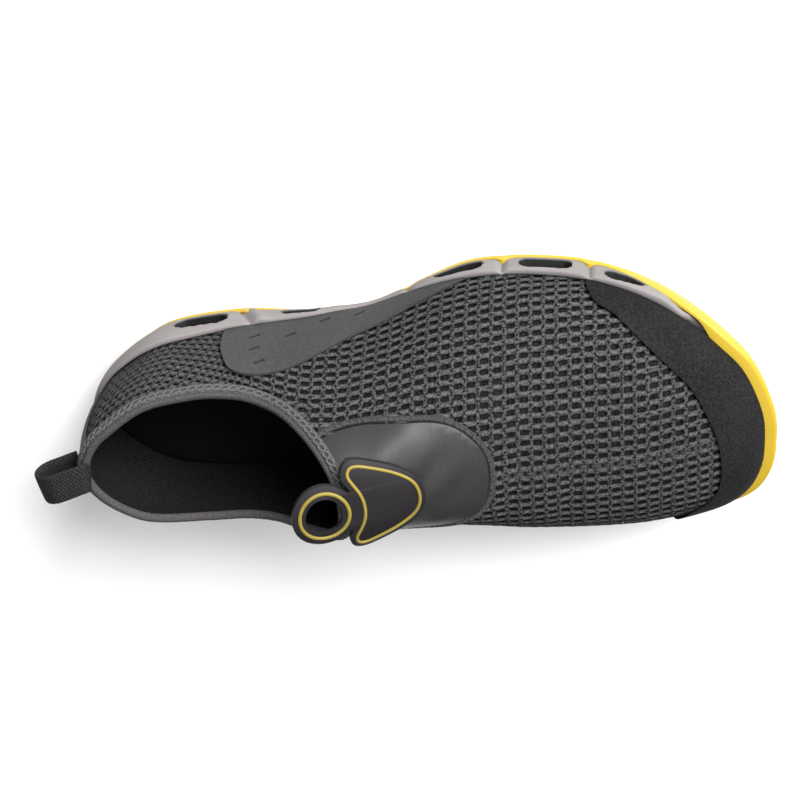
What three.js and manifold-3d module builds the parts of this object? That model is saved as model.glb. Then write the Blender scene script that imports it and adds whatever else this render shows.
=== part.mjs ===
// A left slip-on walking shoe: a knitted mesh upper on a cupped grey midsole with drain ports,
// a yellow rubber outsole that turns up round the toe, and a moulded pull tab at the throat.
// Millimetres. +X runs to the toe, +Y to the little-toe side, +Z up. The origin is on the floor
// under the centre of the heel. Every layer is lofted through ribs: plan lines that leave a
// straight spine square to it, and fan out round the heel's centre and the toe's centre.
import * as THREE from "three";
import { mergeVertices } from "three/addons/utils/BufferGeometryUtils.js";
import Module from "manifold-3d";

const wasm = await Module();
wasm.setup();
const { Manifold, Mesh: SolidMesh } = wasm;

// Driving sizes of the last and the sole
const SOLE_LENGTH = 287;
const BALL_WIDTH = 112;
const HEEL_CENTRE = 38; // from the back of the sole forward to the origin
const TOE_CENTRE = 226; // from the back of the sole to the centre of the toe's fan
const TOE_CENTRE_IN = 9; // how far the spine swings to the big-toe side by the toe's centre
const INSTEP_HEIGHT = 97; // top of the upper at the throat, above the floor
const HEEL_RIM_HEIGHT = 27; // top of the midsole's rim beside the heel
const BED_HEIGHT = 20; // top of the midsole's bed under the heel
const TOE_SPRING = 10; // how far the tip of the sole clears the floor
const COLLAR_HEIGHT = 77; // top of the upper at the back of the heel

// Thicknesses and the clearance that neighbouring pieces keep
const GAP = 0.3;
const WALL = 1.8; // knitted upper with its lining
const OVERLAY = 1.1; // fused films over the knit
const BINDING = 0.8; // rolled edge of the collar
const BINDING_DEPTH = 4;
const LUG = 2.6;
const PLATE = 1.9; // outsole's web over the lugs
const LIP = 1.8; // thickness of the outsole's turned-up edge
const LIP_HEIGHT = 5.2;
const SEAT_GAP = 0.5; // between the midsole and the inside of that edge
const FLANGE = 2; // toe bumper's top, where it reaches in to the upper
const INSOLE = 4;

// How finely the ribs are laid out
const SIDE_RIBS = 17;
const TOE_RIBS = 13;
const HEEL_RIBS = 11;
const CROWN_STEPS = 9;

// The sole's edge seen from above, round the little-toe side and back along the big-toe side.
// along is a share of SOLE_LENGTH from the heel's back, across a share of BALL_WIDTH.
const SOLE_EDGE = [
  { along: 0.000, across: 0.000 },
  { along: 0.007, across: 0.076 },
  { along: 0.024, across: 0.147 },
  { along: 0.045, across: 0.199 },
  { along: 0.073, across: 0.250 },
  { along: 0.111, across: 0.291 },
  { along: 0.160, across: 0.312 },
  { along: 0.209, across: 0.329 },
  { along: 0.258, across: 0.339 },
  { along: 0.314, across: 0.350 },
  { along: 0.362, across: 0.362 },
  { along: 0.411, across: 0.382 },
  { along: 0.453, across: 0.420 },
  { along: 0.491, across: 0.460 },
  { along: 0.530, across: 0.493 },
  { along: 0.575, across: 0.518 },
  { along: 0.620, across: 0.526 },
  { along: 0.669, across: 0.522 },
  { along: 0.718, across: 0.509 },
  { along: 0.763, across: 0.482 },
  { along: 0.808, across: 0.444 },
  { along: 0.854, across: 0.392 },
  { along: 0.894, across: 0.330 },
  { along: 0.930, across: 0.254 },
  { along: 0.962, across: 0.170 },
  { along: 0.984, across: 0.062 },
  { along: 0.998, across: -0.054 },
  { along: 1.000, across: -0.161 },
  { along: 0.996, across: -0.263 },
  { along: 0.979, across: -0.362 },
  { along: 0.951, across: -0.425 },
  { along: 0.909, across: -0.464 },
  { along: 0.850, across: -0.485 },
  { along: 0.787, across: -0.487 },
  { along: 0.718, across: -0.473 },
  { along: 0.641, across: -0.442 },
  { along: 0.557, across: -0.388 },
  { along: 0.470, across: -0.344 },
  { along: 0.383, across: -0.329 },
  { along: 0.293, across: -0.329 },
  { along: 0.209, across: -0.324 },
  { along: 0.146, across: -0.309 },
  { along: 0.098, across: -0.281 },
  { along: 0.059, across: -0.221 },
  { along: 0.030, across: -0.156 },
  { along: 0.009, across: -0.080 },
];

// Heights along the shoe. at is the share of SOLE_LENGTH. floor is a share of TOE_SPRING, bed of
// BED_HEIGHT, rim of HEEL_RIM_HEIGHT and crown of INSTEP_HEIGHT, all above the floor. outer and
// inner are how full the upper's section is on the two sides, and swell its bulge in mm.
const PROFILE = [
  { at: 0.0, floor: 0.5, bed: 0.95, rim: 1.0, crown: 1.28, outer: 2.5, inner: 2.5, swell: 2.0 },
  { at: 0.06, floor: 0.1, bed: 0.93, rim: 0.98, crown: 1.26, outer: 2.3, inner: 2.3, swell: 2.2 },
  { at: 0.12, floor: 0.0, bed: 0.9, rim: 0.92, crown: 1.22, outer: 2.1, inner: 2.0, swell: 1.6 },
  { at: 0.18, floor: 0.0, bed: 0.86, rim: 0.8, crown: 1.14, outer: 2.0, inner: 2.1, swell: 1.0 },
  { at: 0.25, floor: 0.05, bed: 0.8, rim: 0.67, crown: 1.05, outer: 1.75, inner: 2.3, swell: 0.4 },
  { at: 0.32, floor: 0.2, bed: 0.73, rim: 0.6, crown: 1.01, outer: 1.6, inner: 2.5, swell: 0.0 },
  { at: 0.38, floor: 0.3, bed: 0.61, rim: 0.5, crown: 0.995, outer: 1.65, inner: 2.6, swell: 0.0 },
  { at: 0.44, floor: 0.28, bed: 0.59, rim: 0.48, crown: 0.935, outer: 1.8, inner: 2.7, swell: 0.0 },
  { at: 0.5, floor: 0.15, bed: 0.66, rim: 0.54, crown: 0.865, outer: 1.85, inner: 2.8, swell: 0.0 },
  { at: 0.57, floor: 0.0, bed: 0.72, rim: 0.59, crown: 0.795, outer: 1.9, inner: 3, swell: 0.4 },
  { at: 0.66, floor: 0.0, bed: 0.74, rim: 0.61, crown: 0.71, outer: 1.95, inner: 3.2, swell: 0.8 },
  { at: 0.76, floor: 0.0, bed: 0.82, rim: 0.67, crown: 0.63, outer: 2.1, inner: 3.2, swell: 0.8 },
  { at: 0.86, floor: 0.25, bed: 0.95, rim: 0.79, crown: 0.565, outer: 2.3, inner: 3.1, swell: 0.6 },
  { at: 0.94, floor: 0.62, bed: 1.08, rim: 0.92, crown: 0.51, outer: 2.4, inner: 2.7, swell: 0.2 },
  { at: 1.0, floor: 1.0, bed: 1.2, rim: 1.03, crown: 0.46, outer: 2.4, inner: 2.4, swell: 0.0 },
];

// Distances in from the sole's edge, and the upper's sway, in mm. at is the share of SOLE_LENGTH.
// welt runs from the edge in to the upper, tuck is how far the tread's edge lies under the rim's,
// and lean is how far the ridge of the upper sways to the little-toe side.
const EDGES = [
  { at: 0.0, welt: 3.0, tuck: 6.5, lean: 0 },
  { at: 0.06, welt: 3.2, tuck: 5.0, lean: 0 },
  { at: 0.11, welt: 3.2, tuck: 3.0, lean: 0 },
  { at: 0.17, welt: 3.2, tuck: 1.6, lean: 0 },
  { at: 0.23, welt: 3.2, tuck: 1.6, lean: -2 },
  { at: 0.3, welt: 3.0, tuck: 3.6, lean: -3 },
  { at: 0.37, welt: 2.8, tuck: 4.8, lean: -3.5 },
  { at: 0.44, welt: 2.8, tuck: 4.4, lean: -3.5 },
  { at: 0.5, welt: 3.0, tuck: 2.6, lean: -3 },
  { at: 0.56, welt: 3.2, tuck: 0.6, lean: -2.5 },
  { at: 0.7, welt: 3.4, tuck: 0.3, lean: -2 },
  { at: 0.8, welt: 4.0, tuck: 1.0, lean: -1.5 },
  { at: 0.9, welt: 5.8, tuck: 3.0, lean: 0 },
  { at: 1.0, welt: 6.6, tuck: 4.5, lean: 0 },
];

// The collar's edge seen from the side. at is a share of SOLE_LENGTH, height of COLLAR_HEIGHT.
const TOPLINE = [
  { at: -0.06, height: 1.01 },
  { at: 0.02, height: 1.0 },
  { at: 0.08, height: 0.955 },
  { at: 0.15, height: 0.88 },
  { at: 0.21, height: 0.83 },
  { at: 0.255, height: 0.825 },
  { at: 0.295, height: 0.885 },
  { at: 0.335, height: 1.01 },
  { at: 0.375, height: 1.18 },
  { at: 0.415, height: 1.4 },
];

// Drain ports sunk into the midsole's side: side is +1 for the little-toe side.
const PORTS = [
  { side: 1, at: 0.165, length: 22, height: 9 },
  { side: 1, at: 0.312, length: 15, height: 5 },
  { side: 1, at: 0.543, length: 20, height: 8 },
  { side: 1, at: 0.669, length: 21, height: 8 },
  { side: 1, at: 0.782, length: 16, height: 6.5 },
  { side: -1, at: 0.165, length: 22, height: 9 },
  { side: -1, at: 0.312, length: 15, height: 5 },
  { side: -1, at: 0.543, length: 20, height: 8 },
  { side: -1, at: 0.669, length: 21, height: 8 },
  { side: -1, at: 0.782, length: 16, height: 6.5 },
];
const PORT_DEPTH = 5;
const PORT_COVER = 0.8; // foam left between a port and the bed
const GROOVES = [0.232, 0.47, 0.607, 0.731]; // shares along, between the midsole's pods
const GROOVE_WIDTH = 3;
const GROOVE_DEPTH = 1.6;

// Rows of lugs, by their share along the sole
const HEEL_ROWS = [0.03, 0.081, 0.132, 0.183, 0.234];
const FOREFOOT_ROWS = [0.535, 0.595, 0.655, 0.715, 0.775, 0.835, 0.89];
const LUG_LENGTH = 11;
const LUG_SWEEP = 4; // how far a lug's ends lean towards the heel
const LUG_INSET = 1.6; // from the tread's edge
const LUG_SPACE = 5; // between two lugs of a row

// Colours, roughness and metalness
const MATERIALS = {
  rubber_yellow: new THREE.MeshStandardMaterial({ color: 0xf2d418, roughness: 0.5, metalness: 0 }),
  foam_grey: new THREE.MeshStandardMaterial({ color: 0x9a9496, roughness: 0.7, metalness: 0 }),
  knit: new THREE.MeshStandardMaterial({ color: 0x4a4a4b, roughness: 0.9, metalness: 0 }),
  stretch: new THREE.MeshStandardMaterial({ color: 0x3c3c3d, roughness: 0.55, metalness: 0 }),
  film_black: new THREE.MeshStandardMaterial({ color: 0x242424, roughness: 0.75, metalness: 0 }),
  film_grey: new THREE.MeshStandardMaterial({ color: 0x505051, roughness: 0.65, metalness: 0 }),
  binding: new THREE.MeshStandardMaterial({ color: 0x5a5859, roughness: 0.8, metalness: 0 }),
  webbing: new THREE.MeshStandardMaterial({ color: 0x3a383a, roughness: 0.85, metalness: 0 }),
  tab_rubber: new THREE.MeshStandardMaterial({ color: 0x2f2d31, roughness: 0.5, metalness: 0 }),
  lining: new THREE.MeshStandardMaterial({ color: 0x1d1d1c, roughness: 0.95, metalness: 0 }),
};

// Small helpers
const lerp = THREE.MathUtils.lerp;
const smooth = (from, to, value) => THREE.MathUtils.smoothstep(value, from, to);
const shareOf = (x) => (x + HEEL_CENTRE) / SOLE_LENGTH;
const xAt = (share) => share * SOLE_LENGTH - HEEL_CENTRE;

// A smooth curve through one column of a table that never overshoots its rows.
function column(table, name) {
  const at = table.map((row) => row.at);
  const value = table.map((row) => row[name]);
  const rise = at.slice(1).map((a, i) => (value[i + 1] - value[i]) / (a - at[i]));
  const slope = value.map((_, i) => {
    if (i === 0 || i === value.length - 1) return rise[Math.min(i, rise.length - 1)];
    const flat = rise[i - 1] * rise[i] <= 0;
    return flat ? 0 : (2 * rise[i - 1] * rise[i]) / (rise[i - 1] + rise[i]);
  });
  return (share) => {
    const s = THREE.MathUtils.clamp(share, at[0], at[at.length - 1]);
    const i = Math.min(at.findLastIndex((a) => a <= s), at.length - 2);
    const step = at[i + 1] - at[i];
    const t = (s - at[i]) / step;
    const ease = t * t * (3 - 2 * t);
    const turn = slope[i] * t * (1 - t) ** 2 - slope[i + 1] * t * t * (1 - t);
    return lerp(value[i], value[i + 1], ease) + step * turn;
  };
}

const floorShare = column(PROFILE, "floor");
const bedShare = column(PROFILE, "bed");
const rimShare = column(PROFILE, "rim");
const crownShare = column(PROFILE, "crown");
const outerFullness = column(PROFILE, "outer");
const innerFullness = column(PROFILE, "inner");
const swellAt = column(PROFILE, "swell");
const weltAt = column(EDGES, "welt");
const tuckAt = column(EDGES, "tuck");
const leanAt = column(EDGES, "lean");

const floorZ = (x) => TOE_SPRING * floorShare(shareOf(x));
const plateZ = (x) => floorZ(x) + LUG + PLATE;
const bedZ = (x) => BED_HEIGHT * bedShare(shareOf(x));
const rimZ = (x) => HEEL_RIM_HEIGHT * rimShare(shareOf(x));
const crownZ = (x) => INSTEP_HEIGHT * crownShare(shareOf(x));

// Height of the outsole's turned-up edge, which climbs to the upper round the toe
function lipZ(x) {
  const share = shareOf(x);
  return lerp(floorZ(x) + LIP_HEIGHT, rimZ(x), smooth(0.72, 0.93, share));
}
// Height of the midsole's rim, which dives under the bumper's flange at the toe
const cupZ = (x) => rimZ(x) - (FLANGE + GAP) * smooth(0.86, 0.93, shareOf(x));
const flangeShare = (x) => smooth(0.93, 0.96, shareOf(x));
// Share of the midsole's side that stands out over the outsole's edge, none where that is high
const overhangShare = (x) => smooth(2.5, 6, cupZ(x) - lipZ(x));
const sleeveZ = (x) => Math.max(cupZ(x), lipZ(x)) + GAP; // where films over the upper may start

// The closed plan outline of the sole
const soleEdge = new THREE.CatmullRomCurve3(
  SOLE_EDGE.map((p) => new THREE.Vector3(xAt(p.along), p.across * BALL_WIDTH, 0)),
  true,
  "centripetal",
).getPoints(12 * SOLE_EDGE.length);

// Distance from a plan point to the sole's edge in a plan direction
function reachToEdge(from, toward) {
  let reach = 0;
  soleEdge.forEach((a, i) => {
    const b = soleEdge[(i + 1) % soleEdge.length];
    const edge = { x: b.x - a.x, y: b.y - a.y };
    const cross = toward.x * edge.y - toward.y * edge.x;
    if (Math.abs(cross) < 1e-12) return;
    const apart = { x: a.x - from.x, y: a.y - from.y };
    const along = (apart.x * toward.y - apart.y * toward.x) / cross;
    const distance = (apart.x * edge.y - apart.y * edge.x) / cross;
    if (along >= 0 && along <= 1 && distance > reach) reach = distance;
  });
  return reach;
}

// The spine runs from the heel's centre to the toe's centre.
const spineStart = { x: 0, y: 0 };
const spineEnd = { x: TOE_CENTRE - HEEL_CENTRE, y: -TOE_CENTRE_IN };
const spineY = (x) => spineEnd.y * THREE.MathUtils.clamp(x / spineEnd.x, 0, 1);

// The ribs in order: little-toe side to the toe, round the toe, back to the heel and round it
function layRibs() {
  const ribs = [];
  const add = (origin, degrees) => {
    const angle = THREE.MathUtils.degToRad(degrees);
    const toward = { x: Math.cos(angle), y: Math.sin(angle) };
    const reach = reachToEdge(origin, toward);
    const edgeX = origin.x + reach * toward.x;
    const side = toward.y / Math.max(1e-9, Math.abs(toward.y));
    const full = Math.abs(toward.y) < 1e-9 ? 0.5 : 0.5 + (0.5 * side * Math.abs(toward.y) ** 0.5);
    const welt = weltAt(shareOf(edgeX));
    const tuck = tuckAt(shareOf(edgeX));
    ribs.push({ origin, toward, reach, edgeX, full, welt, tuck });
  };
  const spinePoint = (i) => ({
    x: lerp(spineStart.x, spineEnd.x, i / SIDE_RIBS),
    y: lerp(spineStart.y, spineEnd.y, i / SIDE_RIBS),
  });
  for (let i = 0; i < SIDE_RIBS; i++) add(spinePoint(i), 90);
  for (let i = 0; i < TOE_RIBS; i++) add(spineEnd, 90 - (180 * i) / TOE_RIBS);
  for (let i = SIDE_RIBS; i > 0; i--) add(spinePoint(i), -90);
  for (let i = 0; i < HEEL_RIBS; i++) add(spineStart, -90 - (180 * i) / HEEL_RIBS);
  return ribs;
}
const RIBS = layRibs();

// A plan point on a rib, at a reach from its origin, lifted to a height
function onRib(rib, reach, height) {
  const x = rib.origin.x + reach * rib.toward.x;
  const y = rib.origin.y + reach * rib.toward.y;
  return new THREE.Vector3(x, y, typeof height === "function" ? height(x) : height);
}

// three.js geometry to a manifold-3d solid, and back to a named mesh
function solidFrom(geometry) {
  const bare = new THREE.BufferGeometry();
  bare.setAttribute("position", geometry.getAttribute("position"));
  if (geometry.index) bare.setIndex(geometry.index);
  const merged = mergeVertices(bare, 1e-4);
  const index = Array.from(merged.index.array);
  const kept = [];
  for (let i = 0; i < index.length; i += 3) {
    const [a, b, c] = index.slice(i, i + 3);
    if (a !== b && b !== c && c !== a) kept.push(a, b, c);
  }
  const vertProperties = merged.attributes.position.array;
  return new Manifold(new SolidMesh({ numProp: 3, vertProperties, triVerts: new Uint32Array(kept) }));
}

function meshFrom(name, solid, material) {
  const made = solid.getMesh();
  const geometry = new THREE.BufferGeometry();
  const positions = new Float32Array(made.numVert * 3);
  for (let i = 0; i < made.numVert; i++) {
    positions.set(made.vertProperties.subarray(i * made.numProp, i * made.numProp + 3), i * 3);
  }
  geometry.setAttribute("position", new THREE.BufferAttribute(positions, 3));
  geometry.setIndex(new THREE.BufferAttribute(made.triVerts, 1));
  geometry.computeVertexNormals();
  const mesh = new THREE.Mesh(geometry, material);
  mesh.name = name;
  return mesh;
}

// A closed solid lofted round the shoe. profile gives each rib's points from the spine under the
// solid, out and up, and back to the spine over it.
function loft(profile) {
  const rows = RIBS.map(profile);
  const levels = rows[0].length;
  const positions = rows.flat().flatMap((p) => [p.x, p.y, p.z]);
  const index = [];
  rows.forEach((_, i) => {
    const here = i * levels;
    const next = ((i + 1) % rows.length) * levels;
    for (let k = 0; k < levels - 1; k++) {
      index.push(here + k, here + k + 1, next + k + 1, here + k, next + k + 1, next + k);
    }
  });
  const geometry = new THREE.BufferGeometry();
  geometry.setAttribute("position", new THREE.Float32BufferAttribute(positions, 3));
  geometry.setIndex(index);
  return solidFrom(geometry);
}

// The last's surface, grown outwards by some mm, closed at a depth below the bed
function lastForm(grow, below) {
  return loft((rib) => {
    const reach = rib.reach - rib.welt + grow;
    const share = shareOf(rib.edgeX);
    const fullness = lerp(innerFullness(share), outerFullness(share), rib.full);
    const shoulder = 2 + 0.4 * (fullness - 2);
    const foot = rimZ(rib.edgeX) + GAP;
    const bottom = (x) => bedZ(x) + GAP - below;
    const swell = swellAt(share);
    const points = [onRib(rib, 0, bottom), onRib(rib, reach, bottom)];
    for (let i = 0; i <= CROWN_STEPS; i++) {
      const turn = (Math.PI / 2) * (i / CROWN_STEPS);
      const up = Math.sin(turn) ** (2 / shoulder);
      const bulge = swell * Math.sin(Math.PI * Math.min(1, 1.6 * up));
      const out = i === CROWN_STEPS ? 0 : reach * Math.cos(turn) ** (2 / fullness) + bulge;
      const point = onRib(rib, out, (x) => foot + (crownZ(x) + grow - foot) * up);
      point.y += leanAt(shareOf(point.x)) * up;
      points.push(point);
    }
    return points;
  });
}

// Everything below the top of the sole, for trimming the films that lie on the upper
const belowSleeve = () =>
  loft((rib) => [
    onRib(rib, 0, (x) => bedZ(x) - 20),
    onRib(rib, rib.reach + 10, (x) => bedZ(x) - 20),
    onRib(rib, rib.reach + 10, sleeveZ(rib.edgeX)),
    onRib(rib, rib.reach - rib.welt - 4, sleeveZ(rib.edgeX)),
    onRib(rib, 0, sleeveZ),
  ]);

// Outlines in the side view (x, z), extruded across the shoe, and in the plan (x, y), upwards
function sidePrism(points, fromY, toY) {
  const shape = new THREE.Shape(points);
  const geometry = new THREE.ExtrudeGeometry(shape, { depth: toY - fromY, bevelEnabled: false });
  geometry.rotateX(Math.PI / 2);
  geometry.translate(0, toY, 0);
  return solidFrom(geometry);
}
function planPrism(points, fromZ, toZ) {
  const shape = new THREE.Shape(points);
  const geometry = new THREE.ExtrudeGeometry(shape, { depth: toZ - fromZ, bevelEnabled: false });
  geometry.translate(0, 0, fromZ);
  return solidFrom(geometry);
}

// The collar's edge as a side-view curve, moved square to itself by some mm
const sidePoints = (table) =>
  table.map((row) => new THREE.Vector2(xAt(row.at), row.height * COLLAR_HEIGHT));
const toplineCurve = new THREE.SplineCurve(sidePoints(TOPLINE));
const TOPLINE_STEPS = 24;
function toplinePoints(raise) {
  return Array.from({ length: TOPLINE_STEPS + 1 }, (_, i) => {
    const t = i / TOPLINE_STEPS;
    const tangent = toplineCurve.getTangent(t);
    return toplineCurve.getPoint(t).add(new THREE.Vector2(-tangent.y, tangent.x).multiplyScalar(raise));
  });
}
const ABOVE_ALL = 170; // clear of the whole shoe
function aboveTopline(raise) {
  const line = toplinePoints(raise);
  const ends = [new THREE.Vector2(line[TOPLINE_STEPS].x, ABOVE_ALL), new THREE.Vector2(line[0].x, ABOVE_ALL)];
  return sidePrism([...line, ...ends], -BALL_WIDTH, BALL_WIDTH);
}

// Plan outline of the stretch panel over the instep, from the collar round its front and back
const PANEL_EDGE = [
  { along: 0.3, across: 0.07 },
  { along: 0.358, across: 0.142 },
  { along: 0.398, across: 0.168 },
  { along: 0.439, across: 0.178 },
  { along: 0.499, across: 0.178 },
  { along: 0.535, across: 0.161 },
  { along: 0.56, across: 0.123 },
  { along: 0.58, across: 0.066 },
  { along: 0.589, across: 0 },
  { along: 0.589, across: -0.088 },
  { along: 0.58, across: -0.158 },
  { along: 0.56, across: -0.205 },
  { along: 0.53, across: -0.233 },
  { along: 0.49, across: -0.245 },
  { along: 0.439, across: -0.245 },
  { along: 0.398, across: -0.226 },
  { along: 0.355, across: -0.188 },
  { along: 0.3, across: -0.12 },
];
const planPoints = (table) =>
  table.map((row) => new THREE.Vector2(xAt(row.along), row.across * BALL_WIDTH));
function panelPrism(grow) {
  const line = new THREE.SplineCurve(planPoints(PANEL_EDGE));
  const steps = 26;
  const outline = Array.from({ length: steps + 1 }, (_, i) => {
    const tangent = line.getTangent(i / steps);
    return line.getPoint(i / steps).add(new THREE.Vector2(-tangent.y, tangent.x).multiplyScalar(grow));
  });
  return planPrism(outline.reverse(), 30, ABOVE_ALL);
}

const shellOf = (outer, inner) => lastForm(outer, 0).subtract(lastForm(inner, 8));

function makeUpper() {
  return shellOf(0, -WALL)
    .subtract(aboveTopline(0))
    .subtract(panelPrism(GAP));
}

function makeInstepPanel() {
  return shellOf(0, -WALL).subtract(aboveTopline(0)).intersect(panelPrism(0));
}

function makeBinding() {
  const channel = lastForm(GAP, 0).subtract(lastForm(-WALL - GAP, 8)).subtract(aboveTopline(GAP));
  return lastForm(GAP + BINDING, 0)
    .subtract(lastForm(-WALL - GAP - BINDING, 8))
    .subtract(aboveTopline(GAP + BINDING))
    .intersect(aboveTopline(-BINDING_DEPTH))
    .subtract(channel);
}

// The toe cap's back edge seen from above, from the little-toe side to the big-toe side
const CAP_EDGE = [
  { along: 0.7, across: 0.56 },
  { along: 0.736, across: 0.465 },
  { along: 0.77, across: 0.416 },
  { along: 0.819, across: 0.308 },
  { along: 0.872, across: 0.171 },
  { along: 0.903, across: 0.014 },
  { along: 0.916, across: -0.124 },
  { along: 0.914, across: -0.255 },
  { along: 0.895, across: -0.33 },
  { along: 0.86, across: -0.41 },
  { along: 0.82, across: -0.6 },
];
function makeToeCap() {
  const edge = new THREE.SplineCurve(planPoints(CAP_EDGE)).getPoints(28);
  const front = xAt(1.1);
  const outline = [...edge, new THREE.Vector2(front, -BALL_WIDTH), new THREE.Vector2(front, BALL_WIDTH)];
  return shellOf(GAP + OVERLAY, GAP).intersect(planPrism(outline, 0, ABOVE_ALL)).subtract(belowSleeve());
}

// Side film behind the ball: its top edge seen from the side, from its round back end forward.
// height is a share of COLLAR_HEIGHT.
const SIDE_FILM_TOP = [
  { at: 0.204, height: 0.15 },
  { at: 0.204, height: 0.43 },
  { at: 0.212, height: 0.56 },
  { at: 0.222, height: 0.64 },
  { at: 0.24, height: 0.675 },
  { at: 0.265, height: 0.672 },
  { at: 0.302, height: 0.626 },
  { at: 0.352, height: 0.521 },
  { at: 0.398, height: 0.415 },
  { at: 0.459, height: 0.344 },
  { at: 0.512, height: 0.285 },
  { at: 0.545, height: 0.23 },
  { at: 0.575, height: 0.15 },
];
function makeSideFilm(side) {
  const top = new THREE.SplineCurve(sidePoints(SIDE_FILM_TOP)).getPoints(28).reverse();
  const prism = sidePrism(top, Math.min(0, side * BALL_WIDTH), Math.max(0, side * BALL_WIDTH));
  return shellOf(GAP + OVERLAY, GAP).intersect(prism).subtract(belowSleeve());
}

const STAY_HALF = 9; // half the width of the heel stay
function makeHeelStay() {
  const box = new THREE.BoxGeometry(HEEL_CENTRE, 2 * STAY_HALF, ABOVE_ALL);
  box.translate(-HEEL_CENTRE / 2 - 10, 0, ABOVE_ALL / 2);
  return shellOf(GAP + OVERLAY, GAP)
    .intersect(solidFrom(box))
    .subtract(belowSleeve())
    .subtract(aboveTopline(-BINDING_DEPTH - GAP));
}

function makeInsole() {
  const top = (x) => bedZ(x) + GAP + INSOLE;
  const slab = loft((rib) => [
    onRib(rib, 0, 0),
    onRib(rib, rib.reach, 0),
    onRib(rib, rib.reach, top(rib.edgeX)),
    onRib(rib, 0, top),
  ]);
  return lastForm(-WALL - GAP, 0).intersect(slab);
}

// Rows of chevron blocks across the sole, from inside the plate down to the tread's face
function makeLugs() {
  const lugs = [];
  for (const share of [...HEEL_ROWS, ...FOREFOOT_ROWS]) {
    const x = xAt(share);
    const outer = reachToEdge({ x, y: spineY(x) }, { x: 0, y: 1 }) + spineY(x) - LUG_INSET;
    const inner = spineY(x) - reachToEdge({ x, y: spineY(x) }, { x: 0, y: -1 }) + LUG_INSET;
    const third = (outer - inner - 2 * LUG_SPACE) / 3;
    for (let i = 0; i < 3; i++) {
      const low = inner + i * (third + LUG_SPACE);
      const high = low + third;
      const lean = (y) => -LUG_SWEEP * Math.abs((2 * (y - inner)) / (outer - inner) - 1) ** 2;
      const middle = (low + high) / 2;
      const half = LUG_LENGTH / 2;
      const back = [low, middle, high].map((y) => new THREE.Vector2(x + lean(y) - half, y));
      const front = [high, middle, low].map((y) => new THREE.Vector2(x + lean(y) + half, y));
      lugs.push(planPrism([...front, ...back], -1, TOE_SPRING + LUG + PLATE));
    }
  }
  const root = (x) => floorZ(x) + LUG + PLATE / 2;
  const tread = loft((rib) => [
    onRib(rib, 0, floorZ),
    onRib(rib, rib.reach - rib.tuck - LUG_INSET, floorZ),
    onRib(rib, rib.reach - rib.tuck - LUG_INSET, root),
    onRib(rib, 0, root),
  ]);
  return Manifold.union(lugs).intersect(tread);
}

// How far out the sole's side stands at a share of the way up from the tread to the rim
const sideReach = (rib, up) => rib.reach - rib.tuck * (1 - up) ** 2;
function lipShare(rib) {
  const foot = floorZ(rib.edgeX) + LUG;
  return Math.min(1, (lipZ(rib.edgeX) - foot) / (rimZ(rib.edgeX) - foot));
}

// Reach of the inside of the outsole's edge, which leans between the plate and the edge's top
function lipInside(rib, z) {
  const low = plateZ(rib.edgeX);
  const high = lipZ(rib.edgeX) - FLANGE * flangeShare(rib.edgeX);
  const up = THREE.MathUtils.clamp((z - low) / (high - low), 0, 1);
  return lerp(rib.reach - rib.tuck, sideReach(rib, lipShare(rib)), up) - LIP;
}

function makeOutsole() {
  const under = (x) => floorZ(x) + LUG;
  const shell = loft((rib) => {
    const top = lipZ(rib.edgeX);
    const foot = floorZ(rib.edgeX) + LUG;
    const flange = flangeShare(rib.edgeX);
    const flangeFoot = top - FLANGE * flange;
    const up = lipShare(rib);
    const rounded = 1.6 * smooth(0.75, 0.93, shareOf(rib.edgeX));
    const flangeInside = lerp(lipInside(rib, top), rib.reach - rib.welt + GAP, flange);
    return [
      onRib(rib, 0, under),
      onRib(rib, rib.reach - rib.tuck - 7, under),
      onRib(rib, rib.reach - rib.tuck - 1, under),
      onRib(rib, rib.reach - rib.tuck, (x) => under(x) + 0.8),
      onRib(rib, sideReach(rib, 0.6 * up), lerp(foot, top, 0.6)),
      onRib(rib, sideReach(rib, up) - 0.4 * rounded, top - 0.4 - 0.6 * rounded),
      onRib(rib, sideReach(rib, up) - 0.4 - rounded, top),
      onRib(rib, flangeInside, top),
      onRib(rib, flangeInside, flangeFoot),
      onRib(rib, lipInside(rib, flangeFoot), flangeFoot),
      onRib(rib, lipInside(rib, 0), plateZ),
      onRib(rib, 0, plateZ),
    ];
  });
  return shell.add(makeLugs());
}

// A place on the sole's edge at a share along, with its outward normal
function edgePlace(side, share) {
  const x = xAt(share);
  const from = { x, y: spineY(x) };
  const y = from.y + side * reachToEdge(from, { x: 0, y: side });
  const ahead = xAt(share) + 2;
  const aheadY = spineY(x) + side * reachToEdge({ x: ahead, y: spineY(x) }, { x: 0, y: side });
  const along = new THREE.Vector2(2, aheadY - y).normalize();
  return { x, y, normal: new THREE.Vector2(-along.y * side, along.x * side) };
}

// A prism that points square into the sole's side at a place
function intoSide(shape, place, z, depth) {
  const options = { depth: depth + 10, bevelEnabled: false, curveSegments: 4 };
  const geometry = new THREE.ExtrudeGeometry(shape, options);
  geometry.rotateX(Math.PI / 2); // its depth now runs along -Y
  geometry.translate(0, 10, 0);
  geometry.rotateZ(Math.atan2(place.normal.y, place.normal.x) - Math.PI / 2);
  geometry.translate(place.x, place.y, z);
  return solidFrom(geometry);
}

function makePorts() {
  return PORTS.map(({ side, at, length, height }) => {
    const place = edgePlace(side, at);
    const shape = new THREE.Shape();
    const radius = height / 2;
    const half = length / 2 - radius;
    shape.absarc(half, 0, radius, -Math.PI / 2, Math.PI / 2, false);
    shape.absarc(-half, 0, radius, Math.PI / 2, (3 * Math.PI) / 2, false);
    const middle = (lipZ(place.x) + cupZ(place.x)) / 2;
    const z = Math.min(middle, bedZ(place.x) - PORT_COVER - radius);
    return intoSide(shape, place, z, PORT_DEPTH);
  });
}

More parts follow.
